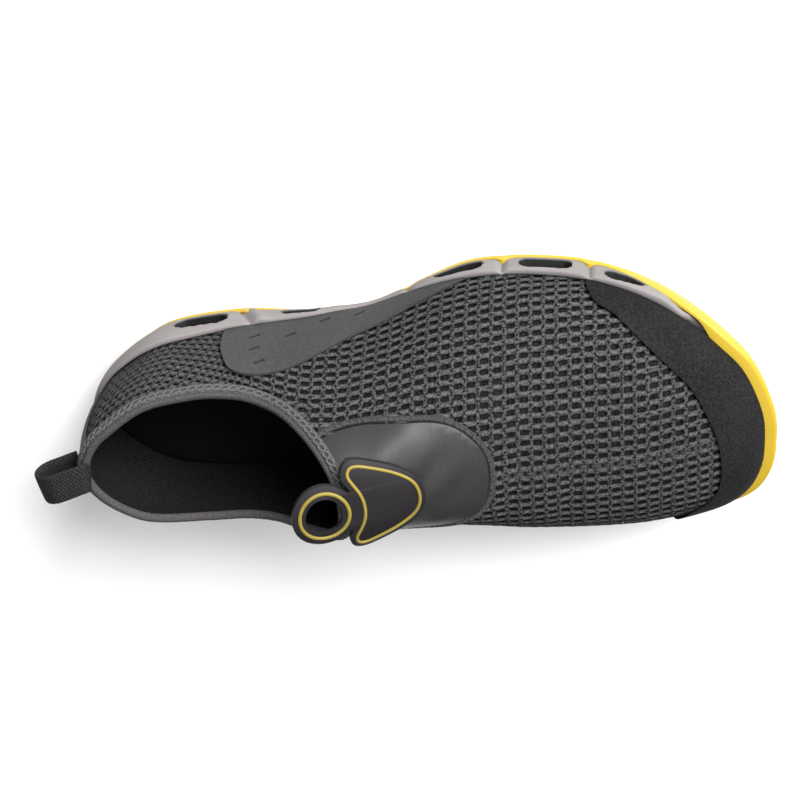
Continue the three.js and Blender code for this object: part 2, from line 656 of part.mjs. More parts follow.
function makeGrooves() {
  return GROOVES.flatMap((at) =>
    [1, -1].map((side) => {
      const place = edgePlace(side, at);
      const half = GROOVE_WIDTH / 2;
      const corners = [
        new THREE.Vector2(-half, 1),
        new THREE.Vector2(half, 1),
        new THREE.Vector2(0, -GROOVE_DEPTH),
      ];
      const shape = new THREE.Shape(corners);
      const geometry = new THREE.ExtrudeGeometry(shape, { depth: ABOVE_ALL, bevelEnabled: false });
      geometry.rotateZ(Math.atan2(place.normal.y, place.normal.x) - Math.PI / 2);
      geometry.translate(place.x, place.y, lipZ(place.x) + GAP / 2);
      return solidFrom(geometry);
    }),
  );
}

function makeMidsole() {
  const cup = loft((rib) => {
    const rim = cupZ(rib.edgeX);
    const shoulder = Math.min(lipZ(rib.edgeX) + GAP, rim - 1.2);
    const foot = floorZ(rib.edgeX) + LUG;
    const outside = (z, inset) => {
      const side = sideReach(rib, (z - foot) / (rimZ(rib.edgeX) - foot)) - 0.4;
      const inside = lipInside(rib, z) - SEAT_GAP;
      return lerp(inside, side, overhangShare(rib.edgeX)) - inset;
    };
    return [
      onRib(rib, 0, (x) => plateZ(x) + GAP),
      onRib(rib, lipInside(rib, 0) - SEAT_GAP, (x) => plateZ(x) + GAP),
      onRib(rib, lipInside(rib, shoulder) - SEAT_GAP, shoulder),
      onRib(rib, outside(shoulder, 0), shoulder),
      onRib(rib, outside(lerp(shoulder, rim, 0.5), 0), lerp(shoulder, rim, 0.5)),
      onRib(rib, outside(rim, 0.2), rim - 0.6),
      onRib(rib, outside(rim, 0.8), rim),
      onRib(rib, rib.reach - rib.welt + GAP, rim),
      onRib(rib, rib.reach - rib.welt + GAP, bedZ),
      onRib(rib, 0, bedZ),
    ];
  });
  return cup.subtract(Manifold.union([...makePorts(), ...makeGrooves()]));
}

// The pull tab lies on the ridge of the instep: a shield-shaped plate and a finger ring that
// stands over the collar's front edge. Its own frame has x down the slope to the toe, z off it.
const TAB_THICKNESS = 2.2;
const TAB_BEAD = 0.7;
const TAB_BEAD_WIDTH = 1.7;
const TAB_BEND = 42; // radius of the plate's bend across the foot
const RING_RADIUS = 13.5;
const RING_HOLE = 7.6;
const RING_LINE = 10;
const SHIELD_LENGTH = 30;
const SHIELD_HALF = 16.5;
const RING_X = 67; // the ring's centre, from the heel's centre
const RING_Y = -6.3;
const TAB_LIFT = 2.9; // the tab's underside over the ridge there
const TAB_TURN = 4; // degrees that the tab is turned seen from above

function shieldOutline(inset) {
  const front = RING_RADIUS + SHIELD_LENGTH - inset;
  const half = SHIELD_HALF - inset;
  const outline = new THREE.Shape();
  const back = RING_RADIUS * 0.35 + inset;
  outline.moveTo(back + 2, half - 3);
  outline.lineTo(back + 4, half);
  outline.quadraticCurveTo(front - 4, half - 1, front, half * 0.35);
  outline.quadraticCurveTo(front + 1.5, 0, front, -half * 0.35);
  outline.quadraticCurveTo(front - 4, -half + 1, back + 4, -half);
  outline.lineTo(back + 2, -half + 3);
  outline.quadraticCurveTo(back + RING_RADIUS * 0.9, 0, back + 2, half - 3);
  return outline.getPoints(5).slice(0, -1).reverse();
}
function disc(radius, height) {
  const geometry = new THREE.CylinderGeometry(radius, radius, height, 24);
  geometry.rotateX(Math.PI / 2);
  return solidFrom(geometry);
}
const TAB_TALL = 30;
function bentSheet(low, high) {
  const tube = (radius) => {
    const geometry = new THREE.CylinderGeometry(radius, radius, 90, 56);
    geometry.rotateZ(Math.PI / 2);
    geometry.translate(20, 0, -TAB_BEND);
    return solidFrom(geometry);
  };
  return tube(TAB_BEND + high).subtract(tube(TAB_BEND + low));
}
function makePullTab() {
  const shield = planPrism(shieldOutline(0), -TAB_TALL, TAB_TALL);
  const ring = disc(RING_RADIUS, 2 * TAB_TALL);
  const hole = disc(RING_HOLE, 3 * TAB_TALL);
  const plate = shield.add(ring).subtract(hole).intersect(bentSheet(0, TAB_THICKNESS));
  const shieldBead = planPrism(shieldOutline(2), -TAB_TALL, TAB_TALL)
    .subtract(planPrism(shieldOutline(2 + TAB_BEAD_WIDTH), -2 * TAB_TALL, 2 * TAB_TALL))
    .subtract(disc(RING_RADIUS, 4 * TAB_TALL));
  const ringBead = disc(RING_LINE, 2 * TAB_TALL).subtract(disc(RING_LINE - TAB_BEAD_WIDTH, 3 * TAB_TALL));
  const beads = shieldBead.add(ringBead).intersect(bentSheet(TAB_THICKNESS - 0.2, TAB_THICKNESS + TAB_BEAD));
  const tail = RING_X + SHIELD_LENGTH;
  const slope = Math.atan2(crownZ(RING_X) - crownZ(tail), SHIELD_LENGTH);
  const place = new THREE.Matrix4()
    .makeTranslation(RING_X, RING_Y, crownZ(RING_X) + TAB_LIFT)
    .multiply(new THREE.Matrix4().makeRotationZ(THREE.MathUtils.degToRad(TAB_TURN)))
    .multiply(new THREE.Matrix4().makeRotationY(slope));
  return plate.add(beads).transform(place.elements);
}

// Webbing loop at the back of the heel, a flat strap bent to a D in the side view
const LOOP_REACH = 16;
const LOOP_HEIGHT = 15;
const LOOP_WIDTH = 13;
const LOOP_RISE = 5; // how far the loop stands over the collar's back
const LOOP_SHIFT = -1.5; // to the big-toe side
const STRAP = 1.5;
function makePullLoop() {
  const root = -HEEL_CENTRE + 6;
  const dShape = (inset) => {
    const half = LOOP_HEIGHT / 2 - inset;
    const points = [new THREE.Vector2(root, -half), new THREE.Vector2(root, half)];
    for (let i = 0; i <= 8; i++) {
      const turn = Math.PI / 2 + (Math.PI * i) / 8;
      const centre = -HEEL_CENTRE - LOOP_REACH + LOOP_HEIGHT / 2;
      points.push(new THREE.Vector2(centre + half * Math.cos(turn), half * Math.sin(turn)));
    }
    return points.map((p) => new THREE.Vector2(p.x, p.y + COLLAR_HEIGHT - LOOP_HEIGHT / 2 + LOOP_RISE));
  };
  const outside = sidePrism(dShape(0), LOOP_SHIFT - LOOP_WIDTH / 2, LOOP_SHIFT + LOOP_WIDTH / 2);
  const inside = sidePrism(dShape(STRAP), LOOP_SHIFT - LOOP_WIDTH, LOOP_SHIFT + LOOP_WIDTH);
  return outside.subtract(inside).subtract(lastForm(OVERLAY + 2 * GAP, 0));
}

const shoe = new THREE.Group();
shoe.add(meshFrom("outsole", makeOutsole(), MATERIALS.rubber_yellow));
shoe.add(meshFrom("midsole", makeMidsole(), MATERIALS.foam_grey));
shoe.add(meshFrom("insole", makeInsole(), MATERIALS.lining));
shoe.add(meshFrom("upper", makeUpper(), MATERIALS.knit));
shoe.add(meshFrom("instep_panel", makeInstepPanel(), MATERIALS.stretch));
shoe.add(meshFrom("collar_binding", makeBinding(), MATERIALS.binding));
shoe.add(meshFrom("toe_cap", makeToeCap(), MATERIALS.film_black));
shoe.add(meshFrom("side_film_outer", makeSideFilm(1), MATERIALS.film_grey));
shoe.add(meshFrom("side_film_inner", makeSideFilm(-1), MATERIALS.film_grey));
shoe.add(meshFrom("heel_stay", makeHeelStay(), MATERIALS.film_grey));
shoe.add(meshFrom("pull_tab", makePullTab(), MATERIALS.tab_rubber));
shoe.add(meshFrom("pull_loop", makePullLoop(), MATERIALS.webbing));

export default shoe;
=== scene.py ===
# %% [markdown]
# # A slip-on walking shoe, dressed over its CAD frame
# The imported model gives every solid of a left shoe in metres: sole, midsole, insole, a hollow
# upper, films, binding, tab and loop. Those solids are made of large flat facets. This file lays
# a finer skin over each of them, from the same sizes, so nothing has to be fitted by eye.

# %% Load the frame
import math
from functools import partial

import bmesh
import bpy
import numpy as np
from mathutils import Matrix, Vector


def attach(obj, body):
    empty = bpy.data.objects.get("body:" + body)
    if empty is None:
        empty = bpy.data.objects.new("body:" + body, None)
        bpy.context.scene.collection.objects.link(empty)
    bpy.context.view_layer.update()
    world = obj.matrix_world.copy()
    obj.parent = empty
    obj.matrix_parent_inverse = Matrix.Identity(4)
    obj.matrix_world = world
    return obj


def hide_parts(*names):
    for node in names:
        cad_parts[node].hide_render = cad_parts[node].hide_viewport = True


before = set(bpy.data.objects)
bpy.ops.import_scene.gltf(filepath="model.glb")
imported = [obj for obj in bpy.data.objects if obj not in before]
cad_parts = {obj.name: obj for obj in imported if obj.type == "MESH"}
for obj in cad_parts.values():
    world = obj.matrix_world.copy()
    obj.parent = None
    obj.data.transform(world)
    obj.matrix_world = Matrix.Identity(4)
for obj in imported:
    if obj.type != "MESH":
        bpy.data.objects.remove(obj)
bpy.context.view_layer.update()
MM = 0.001
print("nodes:", sorted(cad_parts))

# %% [markdown]
# ## The last
# A shoe is built over a last, a solid foot form. Here the last is a rule: plan lines called ribs
# leave a spine under the foot, fan out round the heel and the toe, and each rib carries one
# rounded section from the sole's rim up to the ridge. The tables are those of the CAD source.
# A rule was chosen over sculpting because every layer, from lining to film, can be asked for at
# its own distance from the same surface.

# %% Sizes of the last and the sole, in mm
SOLE_LENGTH = 287
BALL_WIDTH = 112
HEEL_CENTRE = 38  # from the heel's back edge to the centre of its round
TOE_CENTRE = 226
TOE_CENTRE_IN = 9  # how far the toe's centre lies towards the inner side
INSTEP_HEIGHT = 97
HEEL_RIM_HEIGHT = 27
BED_HEIGHT = 20
TOE_SPRING = 10
COLLAR_HEIGHT = 77
GAP = 0.3  # left between two pieces that touch
WALL = 1.8  # the knit and its lining together
OVERLAY = 1.1  # a fused film
LUG = 2.6
PLATE = 1.9
LIP = 1.8  # thickness of the rubber's turned-up edge
LIP_HEIGHT = 5.2
SEAT_GAP = 0.5  # between the foam and that edge
FLANGE = 2  # the rubber that turns over the foam at the toe
INSOLE = 4

EDGE_ALONG = [
    0, .007, .024, .045, .073, .111, .16, .209, .258, .314, .362, .411, .453, .491, .53, .575,
    .62, .669, .718, .763, .808, .854, .894, .93, .962, .984, .998, 1, .996, .979, .951, .909,
    .85, .787, .718, .641, .557, .47, .383, .293, .209, .146, .098, .059, .03, .009,
]
EDGE_ACROSS = [
    0, .076, .147, .199, .25, .291, .312, .329, .339, .35, .362, .382, .42, .46, .493, .518,
    .526, .522, .509, .482, .444, .392, .33, .254, .17, .062, -.054, -.161, -.263, -.362, -.425,
    -.464, -.485, -.487, -.473, -.442, -.388, -.344, -.329, -.329, -.324, -.309, -.281, -.221,
    -.156, -.08,
]
PROFILE = {
    "at": [0, .06, .12, .18, .25, .32, .38, .44, .5, .57, .66, .76, .86, .94, 1],
    "floor": [.5, .1, 0, 0, .05, .2, .3, .28, .15, 0, 0, 0, .25, .62, 1],
    "bed": [.95, .93, .9, .86, .8, .73, .61, .59, .66, .72, .74, .82, .95, 1.08, 1.2],
    "rim": [1, .98, .92, .8, .67, .6, .5, .48, .54, .59, .61, .67, .79, .92, 1.03],
    "crown": [
        1.28, 1.26, 1.22, 1.14, 1.05, 1.01, .995, .935, .865, .795, .71, .63, .565, .51, .46],
    "outer": [2.5, 2.3, 2.1, 2, 1.75, 1.6, 1.65, 1.8, 1.85, 1.9, 1.95, 2.1, 2.3, 2.4, 2.4],
    "inner": [2.5, 2.3, 2, 2.1, 2.3, 2.5, 2.6, 2.7, 2.8, 3, 3.2, 3.2, 3.1, 2.7, 2.4],
    "swell": [2, 2.2, 1.6, 1, .4, 0, 0, 0, 0, .4, .8, .8, .6, .2, 0],
}
EDGES = {
    "at": [0, .06, .11, .17, .23, .3, .37, .44, .5, .56, .7, .8, .9, 1],
    "welt": [3, 3.2, 3.2, 3.2, 3.2, 3, 2.8, 2.8, 3, 3.2, 3.4, 4, 5.8, 6.6],
    "tuck": [6.5, 5, 3, 1.6, 1.6, 3.6, 4.8, 4.4, 2.6, .6, .3, 1, 3, 4.5],
    "lean": [0, 0, 0, 0, -2, -3, -3.5, -3.5, -3, -2.5, -2, -1.5, 0, 0],
}
TOPLINE = {
    "at": [-.06, .02, .08, .15, .21, .255, .295, .335, .375, .415],
    "height": [1.01, 1, .955, .88, .83, .825, .885, 1.01, 1.18, 1.4],
}


# %% Curves through the tables
def column(table, name):
    """A smooth reading of one column of a table, which never overshoots its values."""
    at = np.array(table["at"], float)
    value = np.array(table[name], float)
    rise = np.diff(value) / np.diff(at)
    same_way = rise[:-1] * rise[1:] > 0
    total = np.where(same_way, rise[:-1] + rise[1:], 1)
    slope = np.r_[rise[0], np.where(same_way, 2 * rise[:-1] * rise[1:] / total, 0), rise[-1]]

    def read(share):
        s = np.clip(share, at[0], at[-1])
        i = np.clip(np.searchsorted(at, s, side="right") - 1, 0, len(at) - 2)
        step = at[i + 1] - at[i]
        t = (s - at[i]) / step
        ease = t * t * (3 - 2 * t)
        turn = slope[i] * t * (1 - t) ** 2 - slope[i + 1] * t * t * (1 - t)
        return value[i] + (value[i + 1] - value[i]) * ease + step * turn

    return read


def smooth(low, high, value):
    t = np.clip((value - low) / (high - low), 0, 1)
    return t * t * (3 - 2 * t)


def share_of(x):
    return (x + HEEL_CENTRE) / SOLE_LENGTH


def x_at(share):
    return np.asarray(share) * SOLE_LENGTH - HEEL_CENTRE


floor_share, bed_share, rim_share, crown_share, outer_full, inner_full, swell_at = (
    column(PROFILE, n) for n in ("floor", "bed", "rim", "crown", "outer", "inner", "swell")
)
welt_at, tuck_at, lean_at = (column(EDGES, n) for n in ("welt", "tuck", "lean"))

# %% Heights along the shoe
LIP_CLIMBS = (.72, .93)  # shares of the length between which each change happens
CUP_DROPS = (.86, .93)
FLANGE_GROWS = (.885, .925)
FOAM_COVERED = (.865, .895)
OVERHANG = (2.5, 6)  # mm of foam over the lip at which it starts to bulge, and is full


def floor_z(x):
    return TOE_SPRING * floor_share(share_of(x))


def plate_z(x):
    return floor_z(x) + LUG + PLATE


def bed_z(x):
    return BED_HEIGHT * bed_share(share_of(x))


def rim_z(x):
    return HEEL_RIM_HEIGHT * rim_share(share_of(x))


def crown_z(x):
    return INSTEP_HEIGHT * crown_share(share_of(x))


def lip_z(x):
    climb = smooth(*LIP_CLIMBS, share_of(x))
    return (floor_z(x) + LIP_HEIGHT) * (1 - climb) + rim_z(x) * climb


def cup_z(x):
    return rim_z(x) - (FLANGE + GAP) * smooth(*CUP_DROPS, share_of(x))


def sleeve_z(x):
    return np.maximum(cup_z(x), lip_z(x)) + GAP


def flange_share(x):
    return smooth(*FLANGE_GROWS, share_of(x))


def foam_top(x):
    """Top of the foam: the rubber's flange covers it at the toe."""
    covered = smooth(*FOAM_COVERED, share_of(x))
    return cup_z(x) * (1 - covered) + np.minimum(cup_z(x), lip_z(x) - FLANGE - GAP) * covered


def overhang_share(x):
    return smooth(*OVERHANG, cup_z(x) - lip_z(x))


# %% Path helpers
def unit(vectors):
    return vectors / np.linalg.norm(vectors, axis=-1, keepdims=True)


def lengths_along(points):
    """Distance along a path to each of its points."""
    return np.r_[0, np.cumsum(np.linalg.norm(np.diff(points, axis=0), axis=1))]


def read_at(at, run, points):
    """The path's points at the distances asked for."""
    return np.column_stack([np.interp(at, run, values) for values in points.T])


def round_off(points, times):
    """Softens a closed path: each point moves towards its two neighbours."""
    for _ in range(times):
        points = (np.roll(points, 1, 0) + 2 * points + np.roll(points, -1, 0)) / 4
    return points


def closed_curve(points, steps):
    """A spline round the points, with as many steps to each."""
    p = np.asarray(points, float)
    p0, p1, p2, p3 = (np.roll(p, k, axis=0) for k in (1, 0, -1, -2))
    d0, d1, d2 = (
        np.linalg.norm(b - a, axis=1)[:, None] ** .5 for a, b in ((p0, p1), (p1, p2), (p2, p3))
    )
    m1 = d1 * ((p1 - p0) / d0 - (p2 - p0) / (d0 + d1) + (p2 - p1) / d1)
    m2 = d1 * ((p2 - p1) / d1 - (p3 - p1) / (d1 + d2) + (p3 - p2) / d2)
    t = (np.arange(steps) / steps)[None, :, None]
    a, b, c, d = 2 * t**3 - 3 * t**2 + 1, t**3 - 2 * t**2 + t, -2 * t**3 + 3 * t**2, t**3 - t**2
    q1, q2, m1, m2 = (v[:, None, :] for v in (p1, p2, m1, m2))
    return (a * q1 + b * m1 + c * q2 + d * m2).reshape(-1, 2)


def open_curve(points, steps):
    """A uniform spline through the points, as many steps over its whole length."""
    p = np.asarray(points, float)
    padded = np.vstack([p[0], p, p[-1]])
    s = np.linspace(0, len(p) - 1, steps + 1)
    i = np.minimum(s.astype(int), len(p) - 2)
    t = (s - i)[:, None]
    p0, p1, p2, p3 = (padded[i + k] for k in range(4))
    v0, v1 = (p2 - p0) / 2, (p3 - p1) / 2
    cubic = (2 * p1 - 2 * p2 + v0 + v1) * t**3 + (-3 * p1 + 3 * p2 - 2 * v0 - v1) * t**2
    return cubic + v0 * t + p1


# %% The sole's outline and the ribs
SOLE_EDGE = closed_curve(
    np.column_stack([x_at(EDGE_ALONG), np.array(EDGE_ACROSS) * BALL_WIDTH]), 24
)
SPINE_END = np.array([TOE_CENTRE - HEEL_CENTRE, -TOE_CENTRE_IN], float)


def reach_to_edge(origin, toward):
    """Distance from each origin to the sole's edge, the way that it looks."""
    edge = np.roll(SOLE_EDGE, -1, axis=0) - SOLE_EDGE
    cross = toward[:, :1] * edge[:, 1] - toward[:, 1:] * edge[:, 0]
    cross = np.where(np.abs(cross) < 1e-12, 1e-12, cross)
    ax = SOLE_EDGE[None, :, 0] - origin[:, :1]
    ay = SOLE_EDGE[None, :, 1] - origin[:, 1:]
    along = (ax * toward[:, 1:] - ay * toward[:, :1]) / cross
    distance = (ax * edge[:, 1] - ay * edge[:, 0]) / cross
    hit = (along >= 0) & (along <= 1) & (distance > 0)
    return np.where(hit, distance, 0).max(axis=1)


# %% Ribs
class Ribs:
    """Plan lines from a spine to the sole's edge, with what the tables say at their ends."""

    def __init__(self, origin, degrees):
        angle = np.radians(np.asarray(degrees, float))
        self.origin = np.asarray(origin, float)
        self.toward = np.column_stack([np.cos(angle), np.sin(angle)])
        self.toward[np.abs(self.toward) < 1e-12] = 0
        self.reach = reach_to_edge(self.origin, self.toward)
        self.edge_x = self.origin[:, 0] + self.reach * self.toward[:, 0]
        across = self.toward[:, 1]
        self.full = .5 + .5 * np.sign(across) * np.abs(across) ** .5
        self.welt = welt_at(share_of(self.edge_x))
        self.tuck = tuck_at(share_of(self.edge_x))

    def at(self, reach, height):
        """Points on the ribs; height is a number for each rib, or a rule of x."""
        reach = np.broadcast_to(reach, self.reach.shape)
        plan = self.origin + reach[:, None] * self.toward
        z = height(plan[:, 0]) if callable(height) else np.broadcast_to(height, reach.shape)
        return np.column_stack([plan, z])


def spine_point(share):
    return np.outer(share, SPINE_END)


def lay_ribs(side, toe, heel):
    """Ribs round the shoe: little-toe side, toe, big-toe side, heel."""
    forward = spine_point(np.arange(side) / side)
    back = spine_point(np.arange(side, 0, -1) / side)
    origin = np.vstack([forward, np.tile(SPINE_END, (toe, 1)), back, np.zeros((heel, 2))])
    degrees = np.r_[
        np.full(side, 90), 90 - 180 * np.arange(toe) / toe,
        np.full(side, -90), -90 - 180 * np.arange(heel) / heel,
    ]
    return Ribs(origin, degrees)


SKIN_RIBS = lay_ribs(84, 56, 44)
print("skin ribs:", len(SKIN_RIBS.reach))

# %% [markdown]
# ## Creases
# Cloth that has been worn once keeps soft troughs where the foot bends. Each one is a line on the
# plan with a depth, a width and soft ends. They are added to the distance from the last, so the
# knit, its lining and the films over it all sink together.

# %% Creases of the upper, in mm on the plan
CREASE_DEPTH = 1.4
CREASES = [
    # from x, y, to x, y, depth, width
    (137, -30, 149, 20, .8, 4.0),
    (160, -36, 170, 6, .7, 4.5),
    (150, 24, 166, 44, .5, 3.5),
    (92, -16, 116, 10, .8, 4.0),
    (104, -22, 124, -2, .6, 3.0),
    (84, 6, 104, 20, -.6, 5.0),
    (34, 26, 62, 31, .6, 4.5),
    (20, -30, 52, -31, .6, 4.5),
    (-26, 16, -12, 27, .5, 4.0),
    (196, -40, 214, -26, .4, 4.0),
]


def crease(points):
    """How far each point sinks, from the lines in the table."""
    depth = np.zeros(points.shape[:-1])
    for x0, y0, x1, y1, deep, width in CREASES:
        start, run = np.array([x0, y0], float), np.array([x1 - x0, y1 - y0], float)
        length = np.hypot(*run)
        along = ((points[..., :2] - start) @ run) / length
        off = points[..., :2] - start - np.clip(along, 0, length)[..., None] * run / length
        end = smooth(-.15 * length, .3 * length, along)
        end = end * smooth(1.15 * length, .7 * length, along)
        trough = np.exp(-((np.linalg.norm(off, axis=-1) / width) ** 2))
        depth = depth - CREASE_DEPTH * deep * trough * end
    return depth


# %% The last's surface at any distance
SHOULDER = .4  # how much of a section's fullness reaches its shoulder
SWELL_REACH = 1.6


def last_surface(ribs, turn, grow=0.0):
    """Points at each rib (rows) and turn from rim to ridge (columns), some mm off the last."""

    def at(grow):
        share = share_of(ribs.edge_x)[:, None]
        full = inner_full(share) + (outer_full(share) - inner_full(share)) * ribs.full[:, None]
        shoulder = 2 + SHOULDER * (full - 2)
        up = np.sin(turn) ** (2 / shoulder)
        foot = rim_z(ribs.edge_x)[:, None] + GAP
        bulge = swell_at(share) * np.sin(np.pi * np.minimum(1, SWELL_REACH * up))
        side = np.clip(np.cos(turn), 0, 1)
        side = np.where(side < 1e-9, 0, side) ** (2 / full)
        out = (ribs.reach - ribs.welt)[:, None] * side + grow * side + bulge
        plan = ribs.origin[:, None] + out[..., None] * ribs.toward[:, None]
        z = foot + (crown_z(plan[..., 0]) + grow - foot) * up
        y = plan[..., 1] + lean_at(share_of(plan[..., 0])) * up
        return np.stack([plan[..., 0], y, z], -1)

    return at(grow + crease(at(0.0)))


# %% [markdown]
# ## Solids and cuts
# The films, the lining and the stretch panel are shells cut by an outline, just as a maker stamps
# them from sheet. Lofting a closed body and cutting it with a boolean gives clean edges for any
# outline, where trimming a grid by hand would leave steps.

# %% Mesh helpers
MERGE = 0.0005  # mm; points closer than this become one


def clean(mesh, merge=0.0, dissolve=False):
    """Turns a mesh's faces outwards, after merging its doubles where that is asked for."""
    work = bmesh.new()
    work.from_mesh(mesh)
    if merge:
        bmesh.ops.remove_doubles(work, verts=work.verts, dist=merge * MM)
    if dissolve:
        bmesh.ops.dissolve_degenerate(work, edges=work.edges, dist=merge * MM)
    bmesh.ops.recalc_face_normals(work, faces=work.faces)
    work.to_mesh(mesh)
    work.free()


def body_from(name, vertices, faces, merged=True):
    """A Blender object from points in mm."""
    mesh = bpy.data.meshes.new(name)
    mesh.from_pydata((np.asarray(vertices, float).reshape(-1, 3) * MM).tolist(), [], faces)
    piece = bpy.data.objects.new(name, mesh)
    bpy.context.scene.collection.objects.link(piece)
    if merged:
        clean(mesh, MERGE, dissolve=True)
    return piece


# %% Faces, lofts and prisms
def grid_faces(rows, levels, wrap_rows=True, wrap_levels=False):
    """Faces of a grid of points; it closes on itself where it wraps."""
    faces = []
    for i in range(rows if wrap_rows else rows - 1):
        here, there = i * levels, ((i + 1) % rows) * levels
        for k in range(levels if wrap_levels else levels - 1):
            j = (k + 1) % levels
            faces.append((here + k, here + j, there + j, there + k))
    return faces


def end_faces(count, levels):
    """The two flat ends of a tube of some rings with as many levels each."""
    last = count * levels
    return [tuple(range(levels)), tuple(range(last - 1, last - levels - 1, -1))]


def loft(name, rows):
    """A closed body from each rib's points, spine to spine."""
    rows = np.asarray(rows)
    return body_from(name, rows, grid_faces(*rows.shape[:2]))


LAST_STEPS = 26  # from the rim to the ridge


def last_form(grow, below):
    """The whole last as a body, some mm fuller, with its flat foot below the foam's bed."""
    ribs = SKIN_RIBS
    reach = ribs.reach - ribs.welt + grow

    def foot(x):
        return bed_z(x) + GAP - below

    base = np.stack([ribs.at(0, foot), ribs.at(reach, foot)], 1)
    top = last_surface(ribs, np.linspace(0, np.pi / 2, LAST_STEPS + 1), grow)
    return loft("form", np.concatenate([base, top], 1))


def between(name, low, high):
    """A closed body between two rings of as many points."""
    count = len(low)
    sides = [(i, (i + 1) % count, (i + 1) % count + count, i + count) for i in range(count)]
    return body_from(name, np.vstack([low, high]), sides + end_faces(2, count))


def prism(outline, low, high, plane="xy"):
    """Outline on the plan ("xy") or in the side view ("xz"), from low to high across it."""
    along, other = np.asarray(outline, float).T
    rings = []
    for level in (low, high):
        across = np.full(len(along), float(level))
        rest = (across, other) if plane == "xz" else (other, across)
        rings.append(np.column_stack([along, *rest]))
    return between("prism", *rings)


# %% Settling, booleans and joins
def settle(piece):
    """Applies a piece's modifiers into a plain mesh."""
    graph = bpy.context.evaluated_depsgraph_get()
    mesh = bpy.data.meshes.new_from_object(piece.evaluated_get(graph))
    piece.modifiers.clear()
    old, piece.data = piece.data, mesh
    bpy.data.meshes.remove(old)
    return piece

def combine(piece, tool, how):
    """Cuts, joins or crosses a piece with a tool, which is used up."""
    step = piece.modifiers.new("cut", "BOOLEAN")
    step.operation = how
    step.solver = "MANIFOLD"
    step.object = tool
    settle(piece)
    bpy.data.objects.remove(tool)
    return piece


def join(pieces):
    """Puts the meshes of several pieces into the first one."""
    work = bmesh.new()
    for piece in pieces:
        work.from_mesh(piece.data)
    work.to_mesh(pieces[0].data)
    work.free()
    for piece in pieces[1:]:
        bpy.data.objects.remove(piece)
    return pieces[0]


# %% What a mesh carries, and how a piece is finished
def give_points(mesh, name, values, kind="FLOAT"):
    """Stores a number, or a vector, on every point of a mesh."""
    attribute = mesh.attributes.new(name, kind, "POINT")
    key = "value" if kind == "FLOAT" else "vector"
    attribute.data.foreach_set(key, np.asarray(values).astype(np.float32).ravel())


def lay_pattern(mesh, name, read):
    """Writes a UV map in metres; read gives it in mm for the point at each face's corner."""
    layout = mesh.uv_layers.new(name=name)
    corners = np.zeros(len(mesh.loops), np.int32)
    mesh.loops.foreach_get("vertex_index", corners)
    layout.data.foreach_set("uv", (read(corners) * MM).astype(np.float32).ravel())


def finish_piece(piece, name, material, *nodes, sharp=38, bevel=0.0):
    """Names, smooths and hands a piece over to the frame in place of its CAD nodes."""
    if bevel:
        step = piece.modifiers.new("edge", "BEVEL")
        step.width = bevel * MM
        step.segments = 2
        step.limit_method = "ANGLE"
        step.angle_limit = math.radians(50)
        settle(piece)
    piece.name = piece.data.name = name
    piece.data.polygons.foreach_set("use_smooth", [True] * len(piece.data.polygons))
    piece.data.set_sharp_from_angle(angle=math.radians(sharp))
    piece.data.materials.clear()
    piece.data.materials.append(material)
    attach(piece, "root")
    if nodes:
        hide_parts(*nodes)
    triangles = sum(len(p.vertices) - 2 for p in piece.data.polygons)
    print(f"{name}: {triangles} triangles")
    return piece


# %% [markdown]
# ## Shader groups
# Three effects come back on many finishes. Grain is the fine unevenness of foam and rubber, with
# broad patches and small specks. Threads is the rise and fall of yarns in two directions, with the
# flecks of a melange yarn. Dust is a soft mask that gathers in patches. Each is built once as a
# group with named inputs, and is placed in every material that needs it, with its own numbers.

# %% Node helpers
def connect(tree, node, **sockets):
    """Feeds a node's inputs, named with _ for spaces, from other sockets or with plain values."""
    for key, value in sockets.items():
        feed(tree, node.inputs[key.replace("_", " ")], value)


def feed(tree, socket, value):
    if isinstance(value, bpy.types.NodeSocket):
        tree.links.new(value, socket)
    else:
        socket.default_value = value


def add(tree, kind, inputs=None, **settings):
    node = tree.nodes.new(kind)
    for key, value in settings.items():
        setattr(node, key, value)
    for key, value in (inputs or {}).items():
        feed(tree, node.inputs[key], value)
    return node


def first_of(tree, kind, inputs=None, **settings):
    """Adds a node and gives back its first output."""
    return add(tree, kind, inputs, **settings).outputs[0]


def value_math(tree, operation, *values, clamp=False):
    return first_of(tree, "ShaderNodeMath", dict(enumerate(values)), operation=operation,
                    use_clamp=clamp)


def split(tree, vector):
    return add(tree, "ShaderNodeSeparateXYZ", {0: vector}).outputs


def noise(tree, vector, scale, detail):
    """A cloudy value, from 0 to 1."""
    return add(tree, "ShaderNodeTexNoise",
               {"Vector": vector, "Scale": scale, "Detail": detail}).outputs["Fac"]


def specks(tree, cloud):
    """Only the peaks of a cloudy value, made crisp."""
    return value_math(tree, "MULTIPLY_ADD", cloud, 5.0, -2.0, clamp=True)


def new_group(name, kind, inputs, outputs):
    """A node group; a socket is given by its default number, or by its type's name."""
    tree = bpy.data.node_groups.new(name, kind)
    for way, sockets in (("INPUT", inputs), ("OUTPUT", outputs)):
        for label, what in sockets.items():
            number = isinstance(what, float)
            socket = tree.interface.new_socket(
                label, in_out=way, socket_type="NodeSocket" + ("Float" if number else what))
            if number:
                socket.default_value = what
    return tree, tree.nodes.new("NodeGroupInput").outputs, tree.nodes.new("NodeGroupOutput")


# %% Grain, threads and dust
PATCHES, FLECKS = 28.0, 1000.0  # noise scales, for places in metres
YARN_HEIGHT = .0004


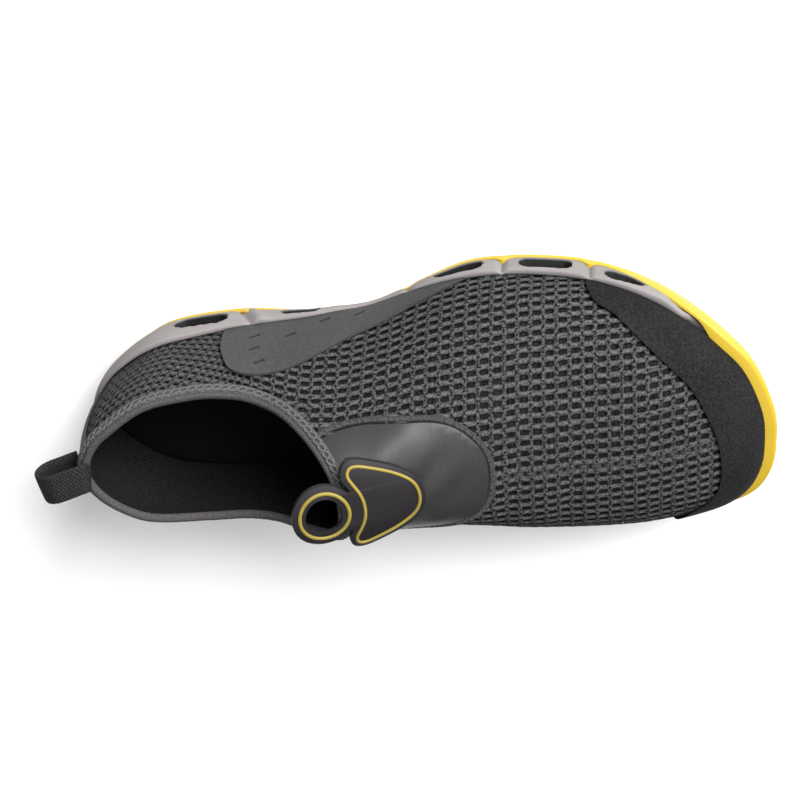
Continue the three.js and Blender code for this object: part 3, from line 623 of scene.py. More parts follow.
def grain_group():
    tree, given, result = new_group(
        "grain", "ShaderNodeTree", {"Scale": 900.0, "Depth": .1, "Relief": .3},
        {"Normal": "Vector", "Patch": "Float", "Speck": "Float"})
    place = add(tree, "ShaderNodeTexCoord").outputs["Object"]
    fine = noise(tree, place, given["Scale"], 4.0)
    bump = first_of(tree, "ShaderNodeBump", {
        "Strength": given["Relief"], "Distance": given["Depth"], "Height": fine})
    connect(tree, result, Normal=bump, Patch=noise(tree, place, PATCHES, 2.0),
            Speck=specks(tree, fine))
    return tree


def threads_group():
    """Crossed yarns: two waves over coordinates that the group is given."""
    tree, given, result = new_group(
        "threads", "ShaderNodeTree",
        {"Vector": "Vector", "Along": 400.0, "Across": 400.0, "Relief": .5},
        {"Height": "Float", "Normal": "Vector", "Fleck": "Float"})
    place = split(tree, given["Vector"])
    waves = [value_math(tree, "SINE", value_math(tree, "MULTIPLY", place[axis], given[way]))
             for axis, way in (("X", "Along"), ("Y", "Across"))]
    height = value_math(tree, "MULTIPLY", *waves)
    height = value_math(tree, "MULTIPLY_ADD", height, .5, .5)
    bump = first_of(tree, "ShaderNodeBump", {
        "Strength": given["Relief"], "Distance": YARN_HEIGHT, "Height": height})
    connect(tree, result, Height=height, Normal=bump,
            Fleck=specks(tree, noise(tree, given["Vector"], FLECKS, 3.0)))
    return tree


def dust_group():
    tree, given, result = new_group(
        "dust", "ShaderNodeTree", {"Scale": 60.0, "Amount": .3}, {"Mask": "Float"})
    place = add(tree, "ShaderNodeTexCoord").outputs["Object"]
    low = value_math(tree, "SUBTRACT", noise(tree, place, given["Scale"], 6.0), .5)
    mask = value_math(tree, "MULTIPLY", low, 4.0, clamp=True)
    connect(tree, result, Mask=value_math(tree, "MULTIPLY", mask, given["Amount"]))
    return tree


GRAIN, THREADS, DUST = grain_group(), threads_group(), dust_group()
print("shader groups:", GRAIN.name, THREADS.name, DUST.name)

# %% [markdown]
# ## Finishes
# Each material below is one finish of the real shoe. Its base colour runs between a dark and a
# light tone by the masks of the groups. Numbers that are the same all over, such as the coat, are
# set on the shader itself, so the export keeps them. Cloth shines very little, and a fused film
# hardly more, which is why their specular levels are so low.

# %% What every finish shares
DUST_ON_PLAIN, DUST_ON_CLOTH = .08, .2  # how much rougher dust makes a finish
GRAIN_DEPTH = .0002
YARN_LEAN = .6  # lets the threads of a flat pattern run on down a side wall
# strength of the painted highlight across the knit's strands between its holes
BRIDGE_HIGHLIGHT = .22


def new_material(name):
    material = bpy.data.materials.new(name)
    material.use_nodes = True
    tree = material.node_tree
    return material, tree, tree.nodes["Principled BSDF"]


def mix_colour(tree, factor, first, second):
    """Goes from one colour to another; each is a socket or three numbers."""
    first, second = ((*c, 1) if isinstance(c, tuple) else c for c in (first, second))
    return add(tree, "ShaderNodeMix", {0: factor, 6: first, 7: second},
               data_type="RGBA").outputs[2]


def dress(tree, shader, colour, rough, dust_lift, normal, darker, constants):
    """Feeds the shader. Where darker is given, a darker tone covers what the mesh's attribute
    marks; the knit's holes and the foam's ports use it to paint shade.
    """
    if darker:
        attribute, shade, quickly = darker
        mask = add(tree, "ShaderNodeAttribute", attribute_name=attribute).outputs["Fac"]
        reached = value_math(tree, "MULTIPLY", mask, quickly, clamp=True)
        colour = mix_colour(tree, reached, colour, shade)
    dust = first_of(tree, "ShaderNodeGroup", node_tree=DUST)
    rough = value_math(tree, "MULTIPLY_ADD", dust, dust_lift, rough)
    connect(tree, shader, Base_Color=colour, Roughness=rough, Normal=normal, **constants)


# %% The two kinds of finish
def plain_finish(name, dark, light, rough, grain, relief, specular, speck=0.0, darker=None):
    """A moulded or coated finish: two near colours in soft patches over a fine grain."""
    material, tree, shader = new_material(name)
    grit = add(tree, "ShaderNodeGroup", {"Scale": grain, "Depth": GRAIN_DEPTH, "Relief": relief},
               node_tree=GRAIN).outputs
    shade = value_math(tree, "MULTIPLY_ADD", grit["Patch"], 1 - speck,
                       value_math(tree, "MULTIPLY", grit["Speck"], speck))
    dress(tree, shader, mix_colour(tree, shade, dark, light), rough, DUST_ON_PLAIN,
          grit["Normal"], darker, {"Specular_IOR_Level": specular})
    return material


def thread_finish(name, dark, light, rough, yarns, relief, specular, on="UV", fleck=.5,
                  bridges=0.0, darker=None, **constants):
    """A woven or knitted finish: the yarns' height sets both the relief and the colour."""
    material, tree, shader = new_material(name)
    vector = add(tree, "ShaderNodeTexCoord").outputs[on]
    if on == "Object":
        place = split(tree, vector)
        down = value_math(tree, "ADD", place["Z"],
                          value_math(tree, "MULTIPLY", place["Y"], YARN_LEAN))
        vector = first_of(tree, "ShaderNodeCombineXYZ", {"X": place["X"], "Y": down})
    threads = add(tree, "ShaderNodeGroup", {
        "Vector": vector, "Along": yarns[0], "Across": yarns[1], "Relief": relief,
    }, node_tree=THREADS).outputs
    shade = value_math(tree, "MULTIPLY_ADD", threads["Height"], 1 - fleck,
                       value_math(tree, "MULTIPLY", threads["Fleck"], fleck))
    # bridges: a painted highlight that rises and falls once per hole's pitch along the sheet
    if bridges:
        turn = value_math(tree, "MULTIPLY", split(tree, vector)["X"], 2 * math.pi / (bridges * MM))
        shade = value_math(tree, "MULTIPLY_ADD", value_math(tree, "COSINE", turn), BRIDGE_HIGHLIGHT,
                           shade, clamp=True)
    dress(tree, shader, mix_colour(tree, shade, dark, light), rough, DUST_ON_CLOTH,
          threads["Normal"], darker, {"Specular_IOR_Level": specular, **constants})
    return material


# %% Rubber, foam and films: dark and light tone, roughness, grain, relief, specular level
PITCH_ALONG = 5.2  # mm from hole to hole in the open mesh
PITCH_ACROSS = 4.5

rubber = plain_finish("rubber_yellow", (.29, .198, .012), (.35, .240, .016), .45, 700, .12, .25)
# The foam's ports go near black: the dark drain mesh inside them, with painted shade of the deep
# hole over it.
foam = plain_finish("foam_grey", (.118, .109, .108), (.170, .158, .156), .7, 1100, .3, .15,
                    darker=("port", (.004, .004, .0045), 5.0))
cap_film = plain_finish("film_black", (.0015, .0015, .0017), (.016, .016, .0163), .7, 1100, 1.0,
                        .035, speck=.45)
side_film = plain_finish("film_grey", (.016, .016, .0165), (.040, .040, .041), .6, 1100, .5,
                         .12, speck=.35)
tab_rubber = plain_finish("rubber_dark", (.009, .008, .0092), (.013, .0118, .0135), .5, 900, .15,
                          .12)
bead_rubber = plain_finish("bead_yellow", (.13, .098, .014), (.20, .155, .024), .5, 1400, .35, .3)

# %% Knits, weaves and threads: dark and light tone, roughness, yarns, relief, specular level
# The knit paints light and shade: near black down each hole's wall by the sink depth, and a
# painted highlight across the strands once per hole's pitch.
knit = thread_finish("knit_mesh", (.012, .012, .0125), (.105, .105, .106), .9, (9000, 7000), .8,
                     .02, fleck=.75, bridges=PITCH_ALONG,
                     darker=("sink", (.0025, .0025, .003), 1.4))
lining = thread_finish("lining_mesh", (.0015, .0015, .0015), (.014, .014, .0135), .95,
                       (2600, 3200), .6, .03, on="Object")
stretch = thread_finish("stretch_weave", (.013, .013, .0135), (.020, .020, .0205), .4,
                        (9000, 9000), .08, .2, on="Object", fleck=.3, Coat_Weight=.03,
                        Coat_Roughness=.35)
roll = thread_finish("binding_roll", (.026, .0237, .0245), (.060, .0565, .0575), .8,
                     (4200, 4200), .5, .08)
strip = thread_finish("binding_knit", (.022, .022, .0225), (.085, .085, .086), .8,
                      (5200, 5200), .9, .06)
seam_knit = thread_finish("seam_knit", (.010, .010, .0105), (.060, .060, .061), .85,
                          (5200, 5200), .9, .04)
thread = plain_finish("stitch_thread", (.050, .0495, .050), (.085, .084, .085), .75, 3000, .4, .08)
webbing = thread_finish("webbing", (.006, .006, .0065), (.020, .0195, .0205), .8,
                        (4200, 2600), .9, .08)
footbed = plain_finish("footbed_cloth", (.0015, .0015, .0015), (.005, .005, .0048), .95, 2200,
                       .5, .02)
print("materials:", len(bpy.data.materials))

# %% [markdown]
# ## Lining and stretch panel
# Inside the open mesh lies a dark lining of fine cloth, and over the instep a smooth stretch
# panel replaces the knit. Both are shells between two distances from the last, cut at the collar,
# and the panel is stamped from its outline on the plan. They could be simulated as cloth, but an
# empty shoe of this kind keeps the shape of its last, so a shell is truer and always the same.

# %% Shells, and the collar's cut
ABOVE_ALL = 170
COLLAR_TRIM = -.6  # how far cloth ends below the collar's line, under the binding
INNER_DEEPER = 8  # the form taken out goes deeper, so a shell is open underneath
CURVE_STEPS = 120


def shell_of(outer, inner):
    return combine(last_form(outer, 0), last_form(inner, INNER_DEEPER), "DIFFERENCE")


def outline_from(shares, width):
    """A smooth outline in mm from points given as shares of the length and of a width."""
    return open_curve([(x_at(along), share * width) for along, share in shares], CURVE_STEPS)


topline_curve = outline_from(zip(TOPLINE["at"], TOPLINE["height"]), COLLAR_HEIGHT)


def offset_curve(curve, distance):
    """The curve moved to its left, square to itself."""
    run = unit(np.gradient(curve, axis=0))
    return curve + distance * np.column_stack([-run[:, 1], run[:, 0]])


def above_topline(rise):
    line = offset_curve(topline_curve, rise)
    outline = np.vstack([line, [line[-1, 0], ABOVE_ALL], [line[0, 0], ABOVE_ALL]])
    return prism(outline, -BALL_WIDTH, BALL_WIDTH, "xz")


# %% Lining and panel
PANEL_EDGE = [
    (.3, .07), (.358, .142), (.398, .168), (.439, .178), (.499, .178), (.535, .161),
    (.56, .123), (.58, .066), (.589, 0), (.589, -.088), (.58, -.158), (.56, -.205),
    (.53, -.233), (.49, -.245), (.439, -.245), (.398, -.226), (.355, -.188), (.3, -.12),
]
panel_curve = outline_from(PANEL_EDGE, BALL_WIDTH)

LINING_OUT = -1.1  # mm off the last, as are the panel's two faces
PANEL_OUT, PANEL_IN = .25, -.8
UNDER_PANEL_EDGE = 30  # a level below the panel and above the sole
lining_shell = shell_of(LINING_OUT, -WALL)
combine(lining_shell, above_topline(COLLAR_TRIM), "DIFFERENCE")
finish_piece(lining_shell, "lining_shell", lining)

panel = shell_of(PANEL_OUT, PANEL_IN)
combine(panel, above_topline(COLLAR_TRIM), "DIFFERENCE")
combine(panel, prism(panel_curve[::-1], UNDER_PANEL_EDGE, ABOVE_ALL), "INTERSECT")
finish_piece(panel, "stretch_panel", stretch, "instep_panel", bevel=.3)

# %% [markdown]
# ## Fused films
# A cap wraps the toe, a film braces each side behind the ball, and a narrow stay runs up the
# back. They are sheets about a millimetre thick, fused on, so each is a shell just off the last,
# stamped by its outline and trimmed where the sole's rim begins. Stamping keeps the edges crisp.

# %% How a film is cut
SLEEVE_DEEP, SLEEVE_OUT, SLEEVE_IN = 20, 10, 4  # how far the tool reaches past the rim's sleeve


def below_sleeve():
    """Everything below the top of the sole's rim, as a body to cut with."""
    ribs = SKIN_RIBS

    def deep(x):
        return bed_z(x) - SLEEVE_DEEP

    top, out = sleeve_z(ribs.edge_x), ribs.reach + SLEEVE_OUT
    rows = [ribs.at(0, deep), ribs.at(out, deep), ribs.at(out, top),
            ribs.at(ribs.reach - ribs.welt - SLEEVE_IN, top), ribs.at(0, sleeve_z)]
    return loft("below", np.stack(rows, 1))


def film_from(outline, low, high, plane="xy"):
    """A sheet just off the last, stamped by an outline and trimmed at the rim."""
    film = shell_of(GAP + OVERLAY, GAP)
    combine(film, prism(outline, low, high, plane), "INTERSECT")
    return combine(film, below_sleeve(), "DIFFERENCE")


# %% Toe cap
CAP_EDGE = [
    (.7, .56), (.736, .465), (.77, .416), (.819, .308), (.872, .171), (.903, .014),
    (.916, -.124), (.914, -.255), (.895, -.33), (.86, -.41), (.82, -.6),
]
cap_curve = outline_from(CAP_EDGE, BALL_WIDTH)
front = float(x_at(1.1))
cap = film_from(np.vstack([cap_curve, [front, -BALL_WIDTH], [front, BALL_WIDTH]]), 0, ABOVE_ALL)
finish_piece(cap, "cap_film", cap_film, "toe_cap", bevel=.4)

# %% Side films, with their slots
SIDE_FILM = [
    (.204, .15), (.204, .43), (.212, .56), (.222, .64), (.24, .675), (.265, .672),
    (.302, .626), (.352, .521), (.398, .415), (.459, .344), (.512, .285), (.545, .23),
    (.575, .15),
]
film_curve = outline_from(SIDE_FILM, COLLAR_HEIGHT)
VENTS = [(.251, .37), (.254, .48), (.264, .585), (.303, .37), (.35, .26), (.4, .24)]
VENT_LENGTH, VENT_HEIGHT, VENT_LEAN = 5.0, 1.5, -28


def vent_outline(share, height):
    """A slanted slot with round ends, in the side view."""
    turn = np.radians(np.r_[np.linspace(-90, 90, 7), np.linspace(90, 270, 7)])
    half = (VENT_LENGTH - VENT_HEIGHT) / 2
    shift = np.r_[np.full(7, half), np.full(7, -half)]
    local = np.column_stack([shift + np.cos(turn) * VENT_HEIGHT / 2,
                             np.sin(turn) * VENT_HEIGHT / 2])
    lean = math.radians(VENT_LEAN)
    spin = np.array([[math.cos(lean), math.sin(lean)], [-math.sin(lean), math.cos(lean)]])
    return local @ spin + [float(x_at(share)), height * COLLAR_HEIGHT]


for side, name, node in ((1, "side_brace_outer", "side_film_outer"),
                         (-1, "side_brace_inner", "side_film_inner")):
    low, high = sorted((0, side * BALL_WIDTH))
    film = film_from(film_curve[::-1], low, high, "xz")
    for share, height in VENTS:
        combine(film, prism(vent_outline(share, height), low, high, "xz"), "DIFFERENCE")
    finish_piece(film, name, side_film, node, bevel=.3)

# %% Heel stay
STAY_HALF = 9
STAY_BACK, STAY_FRONT = -60, -15
STAY_TOP = -4.3  # it ends under the binding's strip
stay = film_from([(STAY_BACK, -STAY_HALF), (STAY_FRONT, -STAY_HALF), (STAY_FRONT, STAY_HALF),
                  (STAY_BACK, STAY_HALF)], 0, ABOVE_ALL)
combine(stay, above_topline(STAY_TOP), "DIFFERENCE")
finish_piece(stay, "stay_film", side_film, "heel_stay", bevel=.4)

# %% [markdown]
# ## The open mesh
# The knit is a spacer mesh: large holes in straight rows, with a tiny hole between every four.
# It is knitted flat, so it is made flat here too. A Geometry Nodes tree puts an eight-sided cell
# at every point of a lattice. It insets each cell to the strand's shoulder, flattened across so
# that holes come out oval, then insets once more, sinks that face as the hole's wall, and opens
# it. The finished sheet is then wrapped over the last by distance along and down it.

# %% One flat cell
MESH_DEPTH = .9


def flat_cell(tree, given):
    """An eight-sided face that fills one place of the lattice, with its corners cut off."""
    node, calc = partial(first_of, tree), partial(value_math, tree)
    ring = node("GeometryNodeMeshCircle", {"Vertices": 8, "Radius": 1.0}, fill_type="NGON")
    turned = node("GeometryNodeTransform", {"Geometry": ring, "Rotation": (0, 0, math.pi / 8)})
    place = split(tree, node("GeometryNodeInputPosition"))
    sides = []
    for axis, pitch in (("X", "Pitch Along"), ("Y", "Pitch Across")):
        far = calc("GREATER_THAN", calc("ABSOLUTE", place[axis]), .5)
        near = calc("MULTIPLY", calc("SUBTRACT", 1.0, far), given["Corner"])
        size = calc("SUBTRACT", calc("MULTIPLY", given[pitch], .5), near)
        sides.append(calc("MULTIPLY", size, calc("SIGN", place[axis])))
    corner = node("ShaderNodeCombineXYZ", {"X": sides[0], "Y": sides[1]})
    return node("GeometryNodeSetPosition", {"Geometry": turned, "Position": corner})


# %% The flat sheet as a node tree
OPEN_FROM = .35  # a cell less open than this keeps its floor, as a dimple


def new_faces(tree, mesh, **selection):
    """Doubles faces where they lie; gives the mesh, and what selects the new ones."""
    made = add(tree, "GeometryNodeExtrudeMesh",
               {"Mesh": mesh, "Offset Scale": 0.0, "Individual": True, **selection})
    return made.outputs["Mesh"], made.outputs["Top"]


def scaled(tree, mesh, top, scale, inputs=None, **settings):
    return first_of(tree, "GeometryNodeScaleElements",
                    {"Geometry": mesh, "Selection": top, "Scale": scale, **(inputs or {})},
                    **settings)


def lowered(tree, mesh, top, by):
    offset = first_of(tree, "ShaderNodeCombineXYZ", {"Z": by})
    return first_of(tree, "GeometryNodeSetPosition",
                    {"Geometry": mesh, "Selection": top, "Offset": offset})


def end_tree(tree, given, result, geometry):
    """Every tree ends so: what was repeated becomes real, and gets its material."""
    real = first_of(tree, "GeometryNodeRealizeInstances", {"Geometry": geometry})
    done = first_of(tree, "GeometryNodeSetMaterial",
                    {"Geometry": real, "Material": given["Material"]})
    connect(tree, result, Geometry=done)
    return tree


def mesh_cell_tree():
    tree, given, result = new_group("mesh_cells", "GeometryNodeTree", {
        "Geometry": "Geometry", "Pitch Along": PITCH_ALONG, "Pitch Across": PITCH_ACROSS,
        "Corner": .75, "Shoulder": .66, "Opening": .80, "Squash": .74, "Round": -.25,
        "Depth": MESH_DEPTH, "Material": "Material",
    }, {"Geometry": "Geometry"})
    node, calc = partial(first_of, tree), partial(value_math, tree)
    laid = node("GeometryNodeInstanceOnPoints",
                {"Points": given["Geometry"], "Instance": flat_cell(tree, given)})
    sheet = node("GeometryNodeRealizeInstances", {"Geometry": laid})
    joined = node("GeometryNodeMergeByDistance", {"Geometry": sheet, "Distance": .05})
    hole = add(tree, "GeometryNodeInputNamedAttribute", {"Name": "hole"},
               data_type="FLOAT").outputs["Attribute"]
    strand, top = new_faces(tree, joined)
    strand = scaled(tree, strand, top, given["Squash"], {"Axis": (0, 1, 0)},
                    scale_mode="SINGLE_AXIS")
    strand = scaled(tree, strand, top, given["Shoulder"])
    strand = lowered(tree, strand, top, given["Round"])
    wall, top = new_faces(tree, strand, Selection=top)
    wide = calc("MULTIPLY", given["Opening"], calc("MULTIPLY_ADD", hole, .6, .4))
    wall = scaled(tree, wall, top, wide)
    drop = calc("MULTIPLY", calc("MULTIPLY_ADD", hole, 1.6, .05, clamp=True), -1.0)
    wall = lowered(tree, wall, top, calc("MULTIPLY", drop, given["Depth"]))
    is_open = calc("MULTIPLY", top, calc("GREATER_THAN", hole, OPEN_FROM))
    opened = node("GeometryNodeDeleteGeometry", {"Geometry": wall, "Selection": is_open},
                  domain="FACE")
    rounded = node("GeometryNodeSubdivisionSurface", {"Mesh": opened, "Level": 1})
    return end_tree(tree, given, result, rounded)


def run_tree(piece, tree, **inputs):
    """Runs a tree on a piece; inputs are named with _ for spaces and set by identifier."""
    step = piece.modifiers.new("nodes", "NODES")
    step.node_group = tree
    names = {s.name: s.identifier for s in tree.interface.items_tree if s.in_out == "INPUT"}
    for name, value in inputs.items():
        step[names[name.replace("_", " ")]] = value
    return settle(piece)


# %% Sections of the last, from the ridge down
HEEL_ROUND = 33.0  # radius that turns distance along the sheet into an angle round the heel
KNIT_BELOW = np.array([0, 0, 3.0])  # the knit goes on down inside the foam's rim
SECTION_TURN = np.linspace(np.pi / 2, 0, 90)
TOE_DEGREES = np.linspace(0, 90, 181)
TOE_TURN = np.linspace(np.pi / 2, 0, 200)
TOE_FAN = {}
for side in (1, -1):
    fan = Ribs(np.tile(SPINE_END, (len(TOE_DEGREES), 1)), side * TOE_DEGREES)
    TOE_FAN[side] = last_surface(fan, TOE_TURN), last_surface(fan, TOE_TURN, 1.0)


def straight_section(u, side):
    """A section square to the spine, or turned round the heel where u is below nothing."""
    degrees = side * (90 + np.degrees(max(0.0, -u) / HEEL_ROUND))
    ribs = Ribs(spine_point([max(0.0, u) / SPINE_END[0]]), [degrees])
    return [last_surface(ribs, SECTION_TURN, grow)[0] for grow in (0.0, 1.0)]


def toe_section(u, side):
    """Round the toe: the places where a line of even u crosses the fan of ribs."""
    ahead = TOE_FAN[side][0][..., 0] - u
    if ahead[0].max() < 0:
        return None
    met = []
    for level in np.nonzero(ahead[0] >= 0)[0]:
        k = min(np.nonzero(ahead[:, level] >= 0)[0][-1], len(TOE_DEGREES) - 2)
        t = np.clip(ahead[k, level] / (ahead[k, level] - ahead[k + 1, level]), 0, 1)
        met.append((k, level, t, 0.0))
    for row in np.nonzero(ahead.max(axis=1) > 0)[0]:
        k = max(np.nonzero(ahead[row] >= 0)[0][0] - 1, 0)
        t = np.clip(-ahead[row, k] / (ahead[row, k + 1] - ahead[row, k]), 0, 1)
        met.append((row, k, 0.0, t))
    met.sort(key=lambda m: (m[0] + m[2]) / len(TOE_DEGREES) + (m[1] + m[3]) / len(TOE_TURN))
    made = [], []
    for row, level, over, on in met:
        next_row = min(row + 1, len(TOE_DEGREES) - 1)
        next_level = min(level + 1, len(TOE_TURN) - 1)
        for fan, points in zip(TOE_FAN[side], made):
            here = fan[row, level]
            points.append(here + (fan[next_row, level] - here) * over
                          + (fan[row, next_level] - here) * on)
    return made


def sections_for(u, side):
    """Points on the last and 1 mm off it, where the sheet is u along."""
    made = straight_section(u, side) if u <= SPINE_END[0] else toe_section(u, side)
    return made and [np.vstack([points, points[-1] - KNIT_BELOW]) for points in made]


# %% How the sheet lies on the last
ROW_STEP = 1.0
ROWS_UP, ROWS_DOWN = -10, 120
SHEET_BACK, SHEET_FRONT = -52, 226
DROP_FROM, HEEL_DROP = 60, 34  # where row 0 leaves the ridge, and how far it drops by the heel


def row_start(u):
    """Distance down from the ridge at which the sheet's row 0 lies."""
    return HEEL_DROP * np.clip((DROP_FROM - u) / DROP_FROM, 0, 1) ** 1.4


sheet_u = np.arange(SHEET_BACK, SHEET_FRONT + 1.0)
sheet_w = np.arange(ROWS_UP, ROWS_DOWN + 1.0) * ROW_STEP
LAID = {}
for side in (1, -1):
    grids = np.full((2, len(sheet_u), len(sheet_w), 3), np.nan)
    ends = np.zeros(len(sheet_u))
    for i, u in enumerate(sheet_u):
        made = sections_for(u, side)
        if made:
            run = lengths_along(made[0]) - row_start(u)
            grids[:, i] = [read_at(sheet_w, run, points) for points in made]
            ends[i] = run[-1]
    LAID[side] = (*grids, ends)
print("sheet table:", LAID[1][0].shape)


def lay(side, u, w, height):
    """Wraps sheet points onto the last: u along, w down from the ridge, height off it."""
    near_grid, far_grid, _ = LAID[side]
    fu = np.clip(u - sheet_u[0], 0, len(sheet_u) - 1.001)
    fw = np.clip((w - sheet_w[0]) / ROW_STEP, 0, len(sheet_w) - 1.001)
    i, j = fu.astype(int), fw.astype(int)
    a, b = (fu - i)[:, None], (fw - j)[:, None]

    def read(grid):
        low = grid[i, j] * (1 - b) + grid[i, j + 1] * b
        high = grid[i + 1, j] * (1 - b) + grid[i + 1, j + 1] * b
        return low * (1 - a) + high * a

    near, far = read(near_grid), read(far_grid)
    return near + (far - near) * np.asarray(height)[:, None]


# %% Where the flat sheet tightens
HEEL_FROM = 42.0  # the knit is tighter, and slants, behind this place
HEEL_TIGHT, HEEL_EASE = .74, 12
HEEL_SLANT, SLANT_ROW, SLANT_RUN = .32, 24, 40  # rows tilt about one of them
INNER_SHRINK = .92  # the rows lie closer on the inner side


def settle_along(u, w):
    """Where along the last a point of the flat sheet comes to lie."""
    behind = np.maximum(HEEL_FROM - u, 0)
    eased = behind * behind / (behind + HEEL_EASE)
    real = u + (1 - HEEL_TIGHT) * eased
    slant = HEEL_SLANT * (w - SLANT_ROW)
    return real + slant * smooth(HEEL_FROM, HEEL_FROM - SLANT_RUN, real)


# %% Distance to an edge
def side_distance(points, curve):
    """Signed distance to a curve on its plane, above or left of it positive."""
    best = np.full(len(points), 1e9)
    sign = np.ones(len(points))
    for a, b in zip(curve[:-1], curve[1:]):
        run = b - a
        t = np.clip(((points - a) @ run) / (run @ run), 0, 1)
        off = points - a - t[:, None] * run
        far = np.hypot(*off.T)
        closer = far < best
        best = np.where(closer, far, best)
        turn = run[0] * (points[:, 1] - a[1]) - run[1] * (points[:, 0] - a[0])
        sign = np.where(closer, np.sign(turn), sign)
    return best * sign

# %% Which cells there are, and how open each one is
LATTICE_U, LATTICE_W = np.arange(-21, 44), np.arange(0, 26)
UNDER_COLLAR, UNDER_PANEL, UNDER_CAP, UNDER_FILM = 2.0, .6, 4, 3.8  # mm past an edge
COLLAR_FRONT, CAP_BACK = 82, 165  # a line counts only over its own stretch of x
PANEL_SPAN, FILM_SPAN = (58, 133), (26, 118)
PANEL_FOOT, KNIT_TOP = 50, 99
INNER_OPENING = .92
HEEL_OPENING, HEEL_CLOSED, HEEL_OPEN = .33, 18, 46  # holes shrink towards the heel
RIDGE_FROM = 128  # ahead of the panel the holes close along the ridge's outer side
RIDGE_CLOSES, COLLAR_CLOSES = (2, 7.5), (-3.5, -6.5)


def cells_on(side):
    """Lattice places on one side of the ridge that no other piece hides, with their openness."""
    grid_u, grid_w = np.meshgrid(LATTICE_U * PITCH_ALONG, LATTICE_W * PITCH_ACROSS)
    u, w = grid_u.ravel(), grid_w.ravel() + PITCH_ACROSS / 2
    real_w = w * (1.0 if side > 0 else INNER_SHRINK)
    real_u = settle_along(u, real_w)
    place = lay(side, real_u, real_w, np.zeros(len(u)))
    x, z = place[:, 0], place[:, 2]
    ends = np.interp(real_u, sheet_u, LAID[side][2])
    keep = ~np.isnan(place).any(1) & (real_w < ends + .5) & (real_u > SHEET_BACK + 1)
    collar = side_distance(place[:, [0, 2]], topline_curve)
    keep &= ~((collar > -UNDER_COLLAR) & (x < COLLAR_FRONT)) & (z < KNIT_TOP)
    in_panel = side_distance(place[:, :2], panel_curve) < UNDER_PANEL
    in_panel &= (x > PANEL_SPAN[0]) & (x < PANEL_SPAN[1]) & (z > PANEL_FOOT)
    in_cap = (side_distance(place[:, :2], cap_curve) > UNDER_CAP) & (x > CAP_BACK)
    in_film = side_distance(place[:, [0, 2]], film_curve) < -UNDER_FILM
    in_film &= (x > FILM_SPAN[0]) & (x < FILM_SPAN[1])
    keep &= ~in_panel & ~in_cap & ~in_film
    hole = HEEL_OPENING + (1 - HEEL_OPENING) * smooth(HEEL_CLOSED, HEEL_OPEN, real_u)
    if side > 0:
        hole = hole * np.where(u > RIDGE_FROM, smooth(*RIDGE_CLOSES, w), 1)
    hole = hole * np.where(x < COLLAR_FRONT, smooth(*COLLAR_CLOSES, collar), 1)
    hole = hole * (1 if side > 0 else INNER_OPENING)
    return np.column_stack([u, w * side, hole])[keep]


cells = np.vstack([cells_on(1), cells_on(-1)])
print("cells:", len(cells))

# %% Make the flat sheet, then wrap it over the last
flat_points = np.column_stack([cells[:, :2], np.zeros(len(cells))]) / MM
sheet = body_from("knit_sheet", flat_points, [], merged=False)
give_points(sheet.data, "hole", cells[:, 2])
run_tree(sheet, mesh_cell_tree(), Pitch_Along=PITCH_ALONG, Pitch_Across=PITCH_ACROSS,
         Material=knit)

flat = np.zeros(len(sheet.data.vertices) * 3, np.float32)
sheet.data.vertices.foreach_get("co", flat)
flat = flat.reshape(-1, 3).astype(float)
wrapped = np.zeros_like(flat)
for side in (1, -1):
    mine = flat[:, 1] * side >= 0
    w = np.abs(flat[mine, 1]) * (1.0 if side > 0 else INNER_SHRINK)
    wrapped[mine] = lay(side, settle_along(flat[mine, 0], w), w, flat[mine, 2])
sheet.data.vertices.foreach_set("co", (wrapped * MM).astype(np.float32).ravel())
# sink: how far down its hole's wall each point lies; the knit paints shade by it
give_points(sheet.data, "sink", np.clip(-flat[:, 2] / MESH_DEPTH, 0, 1))
lay_pattern(sheet.data, "yarn", lambda corners: flat[corners, :2])
sheet.data.update()
finish_piece(sheet, "knit_upper", knit, "upper", sharp=180)

# %% [markdown]
# ## Collar binding
# The collar ends in a rolled edge with a knitted strip below it. A rule finds where the collar's
# side-view line meets the last, and two small sections are swept along that loop. Chain stitches
# are then set along the strip by a node tree, because they repeat.


# %% The collar's loop on the last
SIDE_COUNT, HEEL_COUNT, UP_COUNT = 90, 60, 240


def crossing(ribs):
    """Where each rib's section crosses the collar's side-view line, at and 1 mm off the last."""
    turn = np.linspace(0, np.pi / 2, UP_COUNT)
    near, far = last_surface(ribs, turn), last_surface(ribs, turn, 1.0)
    lift = near[..., 2] - np.interp(near[..., 0], *topline_curve.T)
    found = []
    for row in range(len(lift)):
        for k in np.nonzero((lift[row, :-1] <= 0) & (lift[row, 1:] > 0))[0][:1]:  # the first
            t = -lift[row, k] / (lift[row, k + 1] - lift[row, k])
            found.append([g[row, k] * (1 - t) + g[row, k + 1] * t for g in (near, far)])
    return found


def collar_loop(step):
    """Points round the collar's edge, some mm apart, and the way off the last at each."""
    xs = np.linspace(60, 90, 400)
    front = xs[np.nonzero(np.interp(xs, *topline_curve.T) > crown_z(xs))[0][0]]
    x = (1 - np.linspace(0, 1, SIDE_COUNT) ** 2) * (front - .02)
    round_heel = 90 + 180 * (np.arange(HEEL_COUNT) + .5) / HEEL_COUNT
    outer = crossing(Ribs(spine_point(x / SPINE_END[0]), np.full(SIDE_COUNT, 90)))
    heel = crossing(Ribs(np.zeros((HEEL_COUNT, 2)), round_heel))
    inner = crossing(Ribs(spine_point(x[::-1] / SPINE_END[0]), np.full(SIDE_COUNT, -90)))
    found = np.array(outer + heel + inner)
    closed = np.concatenate([found, found[:1]])
    run = lengths_along(closed[:, 0])
    count = round(run[-1] / step)
    at = np.arange(count) * run[-1] / count
    near, far = (round_off(read_at(at, run, closed[:, k]), 3) for k in (0, 1))
    return near, far - near


